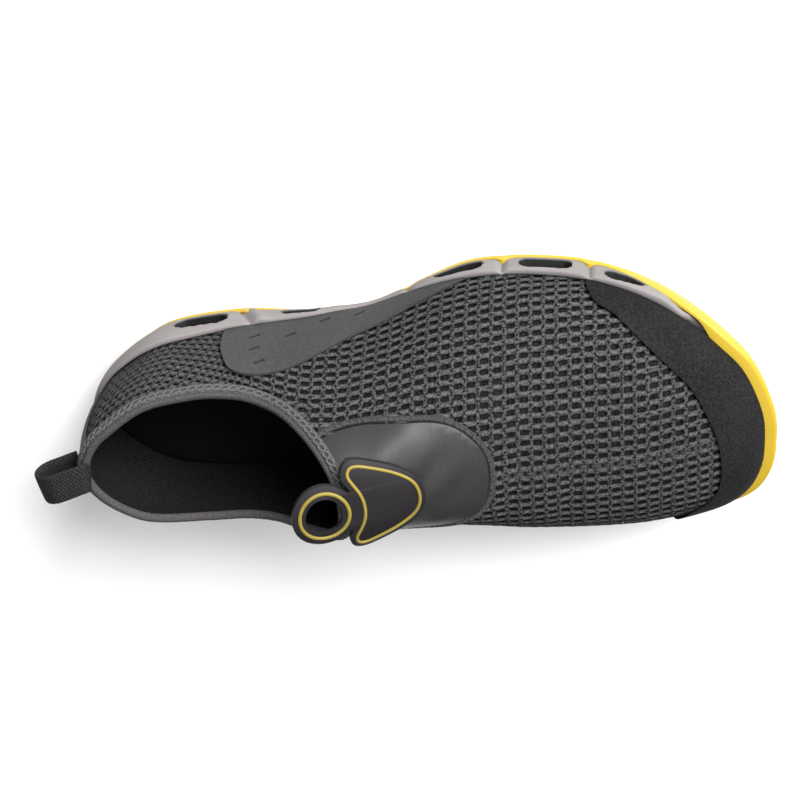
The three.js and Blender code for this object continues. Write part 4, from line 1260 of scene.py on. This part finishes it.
def frames_along(points, normal, closed=True):
    """At each point of a path: the way along it, the way off the surface, and across both."""
    if closed:
        run = unit(np.roll(points, -1, 0) - np.roll(points, 1, 0))
    else:
        run = unit(np.gradient(points, axis=0))
    normal = unit(normal - (normal * run).sum(1)[:, None] * run)
    return run, normal, np.cross(run, normal)


def collar_frames(step):
    points, off = collar_loop(step)
    run, normal, across = frames_along(points, off)
    upright = across[len(across) // 2, 2] >= 0
    return points, run, normal, across if upright else -across


# %% Sweeps
def sweep(name, points, normal, across, section, closed=True):
    """Sweeps a section of (off the surface, across it) along a path, with UVs in metres."""
    section = np.asarray(section, float)
    rings = points[:, None] + normal[:, None] * section[None, :, :1]
    rings = rings + across[:, None] * section[None, :, 1:]
    count, levels = rings.shape[:2]
    faces = grid_faces(count, levels, wrap_rows=closed, wrap_levels=True)
    if not closed:
        faces += end_faces(count, levels)
    piece = body_from(name, rings, faces, merged=False)
    clean(piece.data)
    along, round_it = lengths_along(points), lengths_along(section)
    lay_pattern(piece.data, "path", lambda corners: np.column_stack(
        [along[corners // levels], round_it[corners % levels]]))
    return piece


def oval(half_off, half_across, count=14, power=1.0, off=0.0, across=0.0):
    """A round section, or one with flatter sides where the power is below 1."""
    turn = np.arange(count) * 2 * np.pi / count
    c, s = np.cos(turn), np.sin(turn)
    shape = np.column_stack([np.sign(c) * np.abs(c) ** power * half_off,
                             np.sign(s) * np.abs(s) ** power * half_across])
    return shape + [off, across]


# %% Collar roll and strip
collar, _, normal, across = collar_frames(1.3)
print("collar loop:", len(collar), "points, front at x", round(collar[:, 0].max(), 1))
binding = sweep("binding", collar, normal, across, oval(1.75, 1.35, 16, off=-.9, across=-.15))
finish_piece(binding, "collar_roll", roll, "collar_binding", sharp=80)
band = sweep("band", collar, normal, across, oval(.5, 2.0, 14, .8, off=.25, across=-3.0))
finish_piece(band, "collar_strip", strip, sharp=80)


# %% A stitch as a node tree
def stitch_tree():
    """Lays a thin ring of thread, longer than wide, at every point, turned as the point says."""
    tree, given, result = new_group("stitch_row", "GeometryNodeTree", {
        "Geometry": "Geometry", "Length": 1.0, "Width": 1.0, "Thread": .3,
        "Material": "Material"}, {"Geometry": "Geometry"})
    node = partial(first_of, tree)
    ring = node("GeometryNodeCurvePrimitiveCircle", {"Resolution": 10, "Radius": 1.0})
    scale = node("ShaderNodeCombineXYZ", {"X": given["Length"], "Y": given["Width"], "Z": 1.0})
    long_ring = node("GeometryNodeTransform", {"Geometry": ring, "Scale": scale})
    section = node("GeometryNodeCurvePrimitiveCircle",
                   {"Resolution": 6, "Radius": given["Thread"]})
    link = node("GeometryNodeCurveToMesh", {"Curve": long_ring, "Profile Curve": section})
    along, off = (add(tree, "GeometryNodeInputNamedAttribute", {"Name": name},
                      data_type="FLOAT_VECTOR").outputs["Attribute"] for name in ("along", "off"))
    upright = node("FunctionNodeAlignRotationToVector", {"Vector": off}, axis="Z")
    turned = node("FunctionNodeAlignRotationToVector", {"Rotation": upright, "Vector": along},
                  axis="X", pivot_axis="Z")
    laid = node("GeometryNodeInstanceOnPoints",
                {"Points": given["Geometry"], "Instance": link, "Rotation": turned})
    return end_tree(tree, given, result, laid)


STITCHES = stitch_tree()


# %% Rows of stitches
def stitch_row(name, points, along, off, length, width, thickness, finish=thread):
    """A row of stitches at the points, with half their length, width and thread in mm."""
    piece = body_from(name, points, [], merged=False)
    give_points(piece.data, "along", along, "FLOAT_VECTOR")
    give_points(piece.data, "off", off, "FLOAT_VECTOR")
    run_tree(piece, STITCHES, Length=length * MM, Width=width * MM, Thread=thickness * MM,
             Material=finish)
    return finish_piece(piece, name, finish, sharp=180)


def every(points, step):
    """Indices of points about step apart along a path."""
    run = lengths_along(points)
    return np.searchsorted(run, np.arange(0, run[-1], step))


# %% Chain stitches along the strip
CHAIN_STEP, CHAIN_SLANT = 3.2, .35
fine, run, normal, across = collar_frames(.25)
picked = every(fine, CHAIN_STEP)
centre = fine + normal * .72 - across * 3.0
slant = run + CHAIN_SLANT * across
stitch_row("collar_chain", centre[picked], slant[picked], normal[picked], length=1.75,
           width=1.05, thickness=.4)

# %% [markdown]
# ## Seam round the stretch panel
# Where the panel meets the knit the maker folds the mesh over and stitches it down, which leaves
# a raised cord with short stitches. The same two tools make it: a sweep, and a row of stitches.


# %% Plan points lifted onto the last
def surface_under(plan, sides):
    """Lifts plan points onto the last by reading the laid sheet nearest to them."""
    lifted, off = [], []
    for (x, y), side in zip(plan, sides):
        near_grid, far_grid, _ = LAID[side]
        i = int(round(x - sheet_u[0]))
        row, far = near_grid[i], far_grid[i]
        k = np.argsort(np.abs(row[:, 1] - y) + (row[:, 2] < 40) * 99)[0]
        lifted.append([x, y, row[k, 2]])
        off.append(far[k] - row[k])
    return np.array(lifted), np.array(off)


def spine_y(x):
    return SPINE_END[1] * np.clip(x / SPINE_END[0], 0, 1)


def ridge_y(x):
    """Where the last's ridge lies across the shoe at x."""
    return spine_y(x) + lean_at(share_of(x))


def lifted_curve(curve, step):
    run = lengths_along(curve)
    plan = read_at(np.arange(0, run[-1], step), run, curve)
    sides = np.where(plan[:, 1] > ridge_y(plan[:, 0]), 1, -1)
    points, off = surface_under(plan, sides)
    for _ in range(6):
        points[1:-1, 2] = (points[:-2, 2] + 2 * points[1:-1, 2] + points[2:, 2]) / 4
        off[1:-1] = (off[:-2] + 2 * off[1:-1] + off[2:]) / 4
    return points, off


# %% Panel seam
SEAM_OFF = 1.3  # mm outside the panel's edge
SEAM_ENDS = -1.0
SEAM_STITCH = 2.2
seam, seam_off = lifted_curve(offset_curve(panel_curve, SEAM_OFF), .8)
below_collar = side_distance(seam[:, [0, 2]], topline_curve) < SEAM_ENDS
seam, seam_off = seam[below_collar], seam_off[below_collar]
run, normal, across = frames_along(seam, seam_off, closed=False)
cord = sweep("seam", seam, normal, across, oval(.6, 1.25, 12, .9, off=.1), closed=False)
finish_piece(cord, "panel_seam", seam_knit, sharp=80)
picked = every(seam, SEAM_STITCH)
stitch_row("panel_stitches", (seam + normal * .6)[picked], (run + .5 * across)[picked],
           normal[picked], length=.8, width=.25, thickness=.2, finish=strip)

# %% [markdown]
# ## Midsole
# The foam cup is one moulded block: pods between grooves, each with a drain port, and a rim that
# turns over. Its side wall is a grid of heights here, and ports and grooves push it inwards. That
# gives soft moulded edges, which a boolean cut would leave sharp.

# %% Sizes of the midsole
PORTS = [(.165, 22, 9), (.312, 15, 5), (.543, 20, 8), (.669, 21, 8), (.782, 16, 6.5)]
PORT_DEPTH, PORT_COVER, PORT_EDGE = 5, .8, .7
PORT_FRAME, PORT_FRAME_WIDTH = .25, 1.3  # the wall swells a little round each port
GROOVES = [.232, .47, .607, .731]
GROOVE_WIDTH, GROOVE_DEPTH = 3, 1.6
GROOVE_SOFT, GROOVE_CURVE = .8, 1.3  # a groove's half-width as a share, and its section
HEEL_SLOPE = .45  # the groove behind the waist leans, with a raised strut beside it
STRUT_OFF, STRUT_HALF, STRUT_RISE = 4.6, 2.0, .9
POD_BULGE, POD_PINCH, POD_ROUND = .5, .3, 5  # the wall between grooves is a soft pod
RIM_ROUND = .9
WALL_LEAST, WALL_INSET = 1.2, .4  # the wall's least height, and how far it stands in
WALL_LEVELS = np.linspace(0, 1, 24)
SOLE_RIBS = lay_ribs(188, 150, 96)


def side_reach(ribs, up):
    return ribs.reach - ribs.tuck * (1 - up) ** 2


def lip_share(ribs):
    foot = floor_z(ribs.edge_x) + LUG
    return np.minimum(1, (lip_z(ribs.edge_x) - foot) / (rim_z(ribs.edge_x) - foot))


def lip_inside(ribs, z):
    low = plate_z(ribs.edge_x)
    high = lip_z(ribs.edge_x) - FLANGE * flange_share(ribs.edge_x)
    up = np.clip((z - low) / (high - low), 0, 1)
    outer = side_reach(ribs, lip_share(ribs))
    return (ribs.reach - ribs.tuck) * (1 - up) + outer * up - LIP


def from_mark(ribs, side, share):
    """Distance of each rib along the edge from the mark at that share on that side."""
    edge = ribs.at(ribs.reach, 0.0)[:, :2]
    run = lengths_along(edge)
    mine = np.nonzero((edge[:, 1] * side > 0) & (np.abs(edge[:, 0] - x_at(share)) < 6))[0]
    order = mine[np.argsort(edge[mine, 0])]
    mark = np.interp(x_at(share), edge[order, 0], run[order])
    away = run - mark
    total = run[-1] + 1
    return np.where(np.abs(away) > total / 2, away - np.sign(away) * total, away)


# %% Grooves and ports
def find_grooves(ribs):
    """Each groove's distance and lean at every rib, and how near a groove each rib is."""
    grooves, near = [], np.zeros(len(ribs.reach))
    for mark in GROOVES:
        for side in (1, -1):
            away = from_mark(ribs, side, mark) * side
            grooves.append((away, HEEL_SLOPE if mark == GROOVES[0] else 0))
            near = np.maximum(near, np.exp(-((away / POD_ROUND) ** 2)))
    return grooves, near


def find_ports(ribs):
    """Each port's distance at every rib, its middle's height, its length and its radius."""
    ports = []
    for side in (1, -1):
        for at, length, height in PORTS:
            x, radius = float(x_at(at)), height / 2
            centre = min((lip_z(x) + cup_z(x)) / 2, bed_z(x) - PORT_COVER - radius)
            ports.append((from_mark(ribs, side, at), centre, length, radius))
    return ports


def press_grooves(out, grooves, share, lift):
    """Presses the grooves into the wall, at a height off its middle, and raises the struts."""
    groove, strut = np.zeros(len(out)), np.zeros(len(out))
    for away, slope in grooves:
        off = away - slope * lift
        cut = np.clip(1 - np.abs(off) / (GROOVE_WIDTH * GROOVE_SOFT), 0, 1) ** GROOVE_CURVE
        groove = np.maximum(groove, cut)
        if slope:
            strut = np.maximum(strut, np.exp(-(((off - STRUT_OFF) / STRUT_HALF) ** 2)))
    return out - groove * GROOVE_DEPTH * share + strut * STRUT_RISE * share


def press_ports(out, ports, z, shoulder):
    """Presses the ports into the wall, and says how deep in a port each point is, where the foam
    paints shade.
    """
    dark = np.zeros(len(out))
    for away, centre, length, radius in ports:
        past = np.maximum(np.abs(away) - (length / 2 - radius), 0)
        inward = radius - np.hypot(past, z - centre)
        mask = smooth(-PORT_EDGE, PORT_EDGE, inward) * smooth(.2, .9, z - shoulder)
        frame_rise = np.exp(-((inward / PORT_FRAME_WIDTH) ** 2)) * PORT_FRAME
        out = out - PORT_DEPTH * mask + frame_rise * (1 - mask)
        dark = np.maximum(dark, mask)
    return out, dark


# %% Midsole
def midsole_rows(ribs):
    """Points from the seat up the side wall, over the rim and down to the bed."""
    rim, lip = foam_top(ribs.edge_x), lip_z(ribs.edge_x)
    shoulder = np.minimum(lip + GAP, rim - WALL_LEAST)
    foot = floor_z(ribs.edge_x) + LUG
    share = overhang_share(ribs.edge_x)
    grooves, near_groove = find_grooves(ribs)
    ports = find_ports(ribs)

    def seat(x):
        return plate_z(x) + GAP

    rows = [ribs.at(0, seat),
            ribs.at(lip_inside(ribs, plate_z(ribs.edge_x)) - SEAT_GAP - .6, seat),
            ribs.at(lip_inside(ribs, shoulder) - SEAT_GAP, shoulder)]
    marks = [np.zeros(len(rim))] * 3
    for level in WALL_LEVELS:
        z = shoulder + (rim - RIM_ROUND - shoulder) * level
        outside = side_reach(ribs, (z - foot) / (rim_z(ribs.edge_x) - foot)) - WALL_INSET
        out = (lip_inside(ribs, z) - SEAT_GAP) * (1 - share) + outside * share
        bulge = POD_BULGE * (4 * level * (1 - level)) * (1 - near_groove)
        out = out + share * (bulge - POD_PINCH * near_groove)
        out = press_grooves(out, grooves, share, z - (shoulder + rim) / 2)
        out, dark = press_ports(out, ports, z, shoulder)
        rows.append(ribs.at(out, z))
        marks.append(dark)
    for t in np.radians([30, 60, 90]):
        rows.append(ribs.at(out - RIM_ROUND * (1 - math.cos(t)),
                            rim - RIM_ROUND + RIM_ROUND * math.sin(t)))
    wall = ribs.reach - ribs.welt + GAP
    rows += [ribs.at(wall + .5, rim), ribs.at(wall, rim - .5), ribs.at(wall, bed_z),
             ribs.at(wall * .5, bed_z), ribs.at(0, bed_z)]
    marks += [np.zeros(len(rim))] * 8
    return np.stack(rows, 1), np.stack(marks, 1)


rows, marks = midsole_rows(SOLE_RIBS)
midsole = body_from("midsole", rows, grid_faces(*rows.shape[:2]), merged=False)
give_points(midsole.data, "port", marks)
clean(midsole.data, MERGE)
finish_piece(midsole, "midsole_foam", foam, "midsole", sharp=60)

# %% [markdown]
# ## Outsole
# A yellow rubber tray carries the tread and turns up round the toe as a bumper. The tray is a
# loft with a rounded lip that rises to small peaks at the grooves of the midsole. The lugs are
# chevrons cut to follow the tread's curve, joined to the tray.

# %% The rubber tray
LIP_PEAK, LIP_PEAK_WIDTH = 2.4, 2.6
LIP_SLIM = 1.1  # the lip draws back under the foam behind the waist
LIP_ROUND, BUMPER_ROUND = .25, 1.5
PEAKS_END, WAIST, BUMPER = (.72, .86), (.38, .48), (.75, .93)  # shares of the length


def outsole_rows(ribs):
    """Points from under the sole, round its edge and over the lip, to the plate's top."""

    def under(x):
        return floor_z(x) + LUG

    share = share_of(ribs.edge_x)
    top = lip_z(ribs.edge_x)
    low_lip = 1 - smooth(*PEAKS_END, share)
    slim = LIP_SLIM * (1 - smooth(*WAIST, share))
    for mark in GROOVES:
        for side in (1, -1):
            peak = np.exp(-((from_mark(ribs, side, mark) / LIP_PEAK_WIDTH) ** 2))
            top = top + LIP_PEAK * low_lip * peak
            slim = slim * (1 - peak)
    foot, up = under(ribs.edge_x), lip_share(ribs)
    flange = flange_share(ribs.edge_x)
    flange_foot = top - FLANGE * flange
    rounded = LIP_ROUND + BUMPER_ROUND * smooth(*BUMPER, share)
    outer = side_reach(ribs, up) - slim
    inside = lip_inside(ribs, top) * (1 - flange) + (ribs.reach - ribs.welt + GAP) * flange
    inside = np.minimum(inside, outer - rounded - .1)
    base = ribs.reach - ribs.tuck
    rows = [ribs.at(0, under), ribs.at(base - 7, under), ribs.at(base - 1, under),
            ribs.at(base - .3, lambda x: under(x) + .25), ribs.at(base, lambda x: under(x) + .8)]
    for level in (.3, .5, .7):
        rows.append(ribs.at(side_reach(ribs, level * up) + .15 - slim * level,
                            foot + (top - foot) * level))
    for turn in np.radians([0, 25, 50, 70, 90]):
        rows.append(ribs.at(outer - rounded * (1 - math.cos(turn)),
                            top - rounded + rounded * math.sin(turn)))
    rows += [ribs.at(inside, top), ribs.at(inside, flange_foot - .05),
             ribs.at(lip_inside(ribs, flange_foot), flange_foot - .05),
             ribs.at(lip_inside(ribs, plate_z(ribs.edge_x)), plate_z), ribs.at(0, plate_z)]
    return np.stack(rows, 1)


tray = loft("tray", outsole_rows(SOLE_RIBS))

# %% Lugs
HEEL_ROWS = [.03, .081, .132, .183, .234]
FOREFOOT_ROWS = [.535, .595, .655, .715, .775, .835, .89]
LUG_LENGTH = 11
LUG_SWEEP = 4
LUG_INSET = 1.6
LUG_SPACE = 5
LUG_POINTS = np.linspace(0, 1, 9)
LUG_SPLIT = np.full(9, .9)  # half of the slit between the two halves of a chevron
LUG_HALF = LUG_LENGTH / 2 - .5 * np.linspace(-1, 1, 9) ** 4


def edge_y(x, side):
    start = np.array([[x, spine_y(x)]])
    return float(spine_y(x) + side * reach_to_edge(start, np.array([[0.0, side]]))[0])


lugs = []
for share in HEEL_ROWS + FOREFOOT_ROWS:
    x = float(x_at(share))
    outer, inner = edge_y(x, 1) - LUG_INSET, edge_y(x, -1) + LUG_INSET
    third = (outer - inner - 2 * LUG_SPACE) / 3
    for i in range(3):
        ys = inner + i * (third + LUG_SPACE) + third * LUG_POINTS
        lean = -LUG_SWEEP * np.abs(2 * (ys - inner) / (outer - inner) - 1) ** 2
        for near, far in ((-LUG_HALF, -LUG_SPLIT), (LUG_SPLIT, LUG_HALF)):
            back = np.column_stack([x + lean + near, ys])
            fore = np.column_stack([x + lean + far, ys])[::-1]
            lugs.append(prism(np.vstack([back, fore]), -1, TOE_SPRING + LUG + PLATE))
print("lugs:", len(lugs))

# %% Trim the lugs to the tread and join them to the tray
tread_ribs = lay_ribs(48, 30, 24)
tread_reach = tread_ribs.reach - tread_ribs.tuck - LUG_INSET


def root(x):
    return floor_z(x) + LUG + PLATE / 2


tread = loft("tread", np.stack([tread_ribs.at(reach, height) for reach, height in (
    (0, floor_z), (tread_reach * .5, floor_z), (tread_reach - .5, floor_z),
    (tread_reach, lambda x: floor_z(x) + .4), (tread_reach, root), (tread_reach * .5, root),
    (0, root),
)], 1))
combine(tray, combine(join(lugs), tread, "INTERSECT"), "UNION")
finish_piece(tray, "outsole_rubber", rubber, "outsole", sharp=45)

# %% [markdown]
# ## Footbed
# The insole is seen through the collar. It is a soft slab that dishes under the heel, so its top
# is lofted with a fall towards the middle, inside the room that its CAD solid keeps.

# %% Footbed
BED_STEPS = [  # share of the reach, inset and height, from the foot round the edge to the dish
    (0, 0, 0), (1, .4, 0), (1, 0, 1), (1, 0, INSOLE - 1), (1, .4, INSOLE - .4), (1, 1.4, INSOLE),
    (.8, 1.4, INSOLE - .5), (.5, 1.4, INSOLE - 1.2), (.25, 1.4, INSOLE - 1.5),
    (0, 1.4, INSOLE - 1.6),
]
bed_ribs = lay_ribs(60, 36, 28)
bed_reach = bed_ribs.reach - bed_ribs.welt - WALL - GAP
bed_rows = [bed_ribs.at((bed_reach - inset) * share, lambda x, rise=rise: bed_z(x) + GAP + rise)
            for share, inset, rise in BED_STEPS]
finish_piece(loft("bed", np.stack(bed_rows, 1)), "footbed", footbed, "insole", sharp=60)

# %% [markdown]
# ## Pull tab and heel loop
# The tab is moulded rubber: a shield on the instep and a finger ring over the collar, joined by a
# neck, with a raised yellow line round each. It is cut from a bent sheet like the CAD piece, at a
# finer step, and a foot fills the room between the shield and the instep. The lines are thin
# tubes half sunk in its face. The heel loop is a webbing strap. It is sewn in under the collar's
# binding, bends out over the roll, and hangs as a soft D that leans a little.

# %% The tab's sizes and place
TAB_THICKNESS = 2.2
TAB_BEND = 42  # radius of the bend across the foot
RING_RADIUS, RING_HOLE, RING_LINE = 13.1, 7.6, 10.1
NECK = [(8, -9.5), (18, -9.5), (18, 8), (8, 8)]
SHIELD_LENGTH = 30
RING_X, RING_Y, TAB_LIFT, TAB_TURN = 67, -6.3, 2.9, 4
tail = RING_X + SHIELD_LENGTH
tab_slope = math.atan2(crown_z(RING_X) - crown_z(tail), SHIELD_LENGTH)
tab_place = (
    Matrix.Translation(Vector((RING_X, RING_Y, float(crown_z(RING_X)) + TAB_LIFT)) * MM)
    @ Matrix.Rotation(math.radians(TAB_TURN), 4, "Z") @ Matrix.Rotation(tab_slope, 4, "Y")
)
SHIELD_LINE = [  # half of the raised line round the shield, front to back
    (38.8, 0), (38.2, 4), (36.2, 7.4), (30.5, 11.6), (22, 15.4), (14.6, 17.6), (12.4, 16.9),
    (11.5, 14.2), (13.4, 10.4), (15.7, 5.4), (16.4, 0),
]
LINE_INSET = 2.4


def shield_outline(inset):
    half = np.array(SHIELD_LINE, float)
    line = closed_curve(np.vstack([half, half[-2:0:-1] * [1, -1]]), 8)
    run = unit(np.roll(line, -1, 0) - np.roll(line, 1, 0))
    return line + (LINE_INSET - inset) * np.column_stack([run[:, 1], -run[:, 0]])


def circle(radius, count=72):
    turn = np.arange(count) * 2 * np.pi / count
    return radius * np.column_stack([np.cos(turn), np.sin(turn)])


def bent_sheet(low, high):
    """A sheet bent across the foot, closed, wide enough for the tab."""
    angle = np.radians(np.linspace(-34, 34, 61))
    section = [np.column_stack([(TAB_BEND + r) * np.sin(angle),
                                (TAB_BEND + r) * np.cos(angle) - TAB_BEND]) for r in (low, high)]
    ring = np.vstack([section[0], section[1][::-1]])
    back, front = (np.column_stack([np.full(len(ring), x), ring]) for x in (-25.0, 65.0))
    return between("sheet", back, front)


# %% Tab body and foot, cut with tools of different heights so that no two ends lie on one plane
TAB_FOOT_INSET = 3.2
tab = prism(shield_outline(0), -30, 30)
combine(tab, prism(circle(RING_RADIUS), -30.5, 30.5), "UNION")
combine(tab, prism(NECK, -31, 31), "UNION")
combine(tab, prism(circle(RING_HOLE), -60, 60), "DIFFERENCE")
combine(tab, bent_sheet(0, TAB_THICKNESS), "INTERSECT")
tab.data.transform(tab_place)
finish_piece(tab, "tab_body", tab_rubber, "pull_tab", bevel=.5)

tab_foot = prism(shield_outline(TAB_FOOT_INSET), -30, 30)
combine(tab_foot, prism(circle(RING_RADIUS + 2), -30.5, 30.5), "DIFFERENCE")
combine(tab_foot, bent_sheet(-9, -.1), "INTERSECT")
tab_foot.data.transform(tab_place)
combine(tab_foot, last_form(.4, 0), "DIFFERENCE")
finish_piece(tab_foot, "tab_foot", tab_rubber, sharp=50)


# %% Raised lines of the tab
def bead(outline, radius):
    """A closed round line on the tab's face along an outline."""
    closed = np.vstack([outline, outline[:1]])
    run = lengths_along(closed)
    line = round_off(read_at(np.arange(0, run[-1], .8), run, closed), 4)
    tilt = np.arcsin(line[:, 1] / (TAB_BEND + TAB_THICKNESS))
    off = np.column_stack([np.zeros(len(line)), np.sin(tilt), np.cos(tilt)])
    top = TAB_BEND + TAB_THICKNESS + .1
    points = np.column_stack([line[:, 0], top * np.sin(tilt), top * np.cos(tilt) - TAB_BEND])
    _, normal, across = frames_along(points, off)
    return sweep("bead", points, normal, across, oval(radius * .8, radius, 10))


beads = join([bead(shield_outline(LINE_INSET), .72), bead(circle(RING_LINE), .8)])
beads.data.transform(tab_place)
finish_piece(beads, "tab_lines", bead_rubber, sharp=180)

# %% Heel loop
LOOP_REACH, LOOP_HEIGHT, LOOP_WIDTH, LOOP_RISE, LOOP_SHIFT, STRAP = 14, 15, 13, 5, -1.5, 1.5
LOOP_HANG = (14, 16)  # degrees that the soft strap leans to the inner side, and lifts
STRAP_HELD = [(-32.7, 66), (-31.9, 70), (-30.7, 74), (-29.5, 77), (-29.2, 79)]
UPPER_LEG, LOWER_LEG = -34.2, -33.2  # x at which the strap leaves the heel above, and meets it
half = LOOP_HEIGHT / 2 - STRAP / 2
loop_centre = -HEEL_CENTRE - LOOP_REACH + LOOP_HEIGHT / 2
middle_z = COLLAR_HEIGHT - LOOP_HEIGHT / 2 + LOOP_RISE
arc = np.radians(np.linspace(90, 270, 21))
free = np.vstack([
    np.column_stack([np.linspace(UPPER_LEG, loop_centre, 8, endpoint=False), np.full(8, half)]),
    np.column_stack([loop_centre + half * np.cos(arc), half * np.sin(arc)]),
    np.column_stack([np.linspace(loop_centre, LOWER_LEG, 9)[1:], np.full(8, -half)]),
])
hinge = np.array([-HEEL_CENTRE + 3, LOOP_SHIFT, middle_z])
hang = np.array(Matrix.Rotation(math.radians(LOOP_HANG[0]), 3, "Z")
                @ Matrix.Rotation(math.radians(LOOP_HANG[1]), 3, "Y"))
free = np.column_stack([free[:, 0] - hinge[0], np.zeros(len(free)), free[:, 1]]) @ hang.T + hinge
held = np.array([(x, LOOP_SHIFT, z) for x, z in STRAP_HELD])
points = np.vstack([held, free])
hung = np.clip((np.arange(len(points)) - len(held) + 2) / 6, 0, 1)[:, None]
width_way = np.array([0, 1.0, 0]) * (1 - hung) + hang[:, 1] * hung
for _ in range(3):
    points[1:12] = (points[:11] + 2 * points[1:12] + points[2:13]) / 4
off = np.cross(np.gradient(points, axis=0), width_way)
_, normal, across = frames_along(points, off, closed=False)
strap = sweep("strap", points, normal, across,
              oval(STRAP / 2, LOOP_WIDTH / 2, 20, .45), closed=False)
finish_piece(strap, "heel_loop", webbing, "pull_loop", sharp=60)

# %% [markdown]
# ## Floor, light and camera
# The picture looks down on the outer side from well above, with the camera rolled so that the
# sole is at the top. The floor is plain and pale. One large soft panel stands off beyond the
# outer side, and an even light from overhead, as wide as a sky, keeps the far side readable.

# %% Floor and lights
LIGHT_AIM = (.1, 0, .03)
FLOOR_SHADE, ROOM_LIGHT = .78, .14
floor_mesh = bpy.data.meshes.new("floor")
floor_mesh.from_pydata([(-6, -6, 0), (6, -6, 0), (6, 6, 0), (-6, 6, 0)], [], [(0, 1, 2, 3)])
floor = bpy.data.objects.new("floor", floor_mesh)
bpy.context.scene.collection.objects.link(floor)
pale, tree, shader = new_material("pale_floor")
connect(tree, shader, Base_Color=(FLOOR_SHADE, FLOOR_SHADE, FLOOR_SHADE, 1), Roughness=.95)
floor_mesh.materials.append(pale)

world = bpy.data.worlds.new("studio")
bpy.context.scene.world = world
world.use_nodes = True
connect(world.node_tree, world.node_tree.nodes["Background"], Color=(1, 1, 1, 1),
        Strength=ROOM_LIGHT)


def soft_light(name, place, power, size=None, spread=None):
    """A square panel of some size, or an even far light with some spread in degrees."""
    data = bpy.data.lights.new(name, "AREA" if size else "SUN")
    if size:
        data.shape = "SQUARE"
        data.size = size
    else:
        data.angle = math.radians(spread)
    data.energy = power
    light = bpy.data.objects.new(name, data)
    bpy.context.scene.collection.objects.link(light)
    light.location = place
    light.rotation_euler = (Vector(LIGHT_AIM) - Vector(place)).to_track_quat("-Z", "Y").to_euler()
    return light


soft_light("key", (1.3, 1.62, 1.3), 211, size=1.8)
soft_light("top", (.1, -.1, 1.8), 1.4, spread=60)
bpy.context.scene.view_settings.view_transform = "Standard"

# %% Camera, in mm and degrees as measured on the picture
LOOK_AT = Vector((104.5, 0, 35)) * MM
CAMERA_AWAY = .998
AZIMUTH, ELEVATION, ROLL = math.radians(8.9), math.radians(59.4), math.radians(7.1)
FOCAL_PIXELS, FRAME_PIXELS = 2407, 800
CENTRE_PIXELS = (428, 417)
back = Vector((
    math.sin(AZIMUTH) * math.cos(ELEVATION), math.cos(AZIMUTH) * math.cos(ELEVATION),
    math.sin(ELEVATION),
))
down = Vector((0, 0, -1))
up = (down - down.dot(back) * back).normalized()
right = up.cross(back)
turned_right = right * math.cos(ROLL) + up * math.sin(ROLL)
turned_up = up * math.cos(ROLL) - right * math.sin(ROLL)
camera_data = bpy.data.cameras.new("camera")
camera_data.lens = camera_data.sensor_width * FOCAL_PIXELS / FRAME_PIXELS
camera_data.shift_x = (FRAME_PIXELS / 2 - CENTRE_PIXELS[0]) / FRAME_PIXELS
camera_data.shift_y = (CENTRE_PIXELS[1] - FRAME_PIXELS / 2) / FRAME_PIXELS
camera_data.clip_start = .01
camera = bpy.data.objects.new("camera", camera_data)
bpy.context.scene.collection.objects.link(camera)
turn = Matrix((turned_right, turned_up, back)).transposed().to_4x4()
camera.matrix_world = Matrix.Translation(LOOK_AT + back * CAMERA_AWAY) @ turn
bpy.context.scene.camera = camera

# %% The last line
bpy.context.view_layer.update()
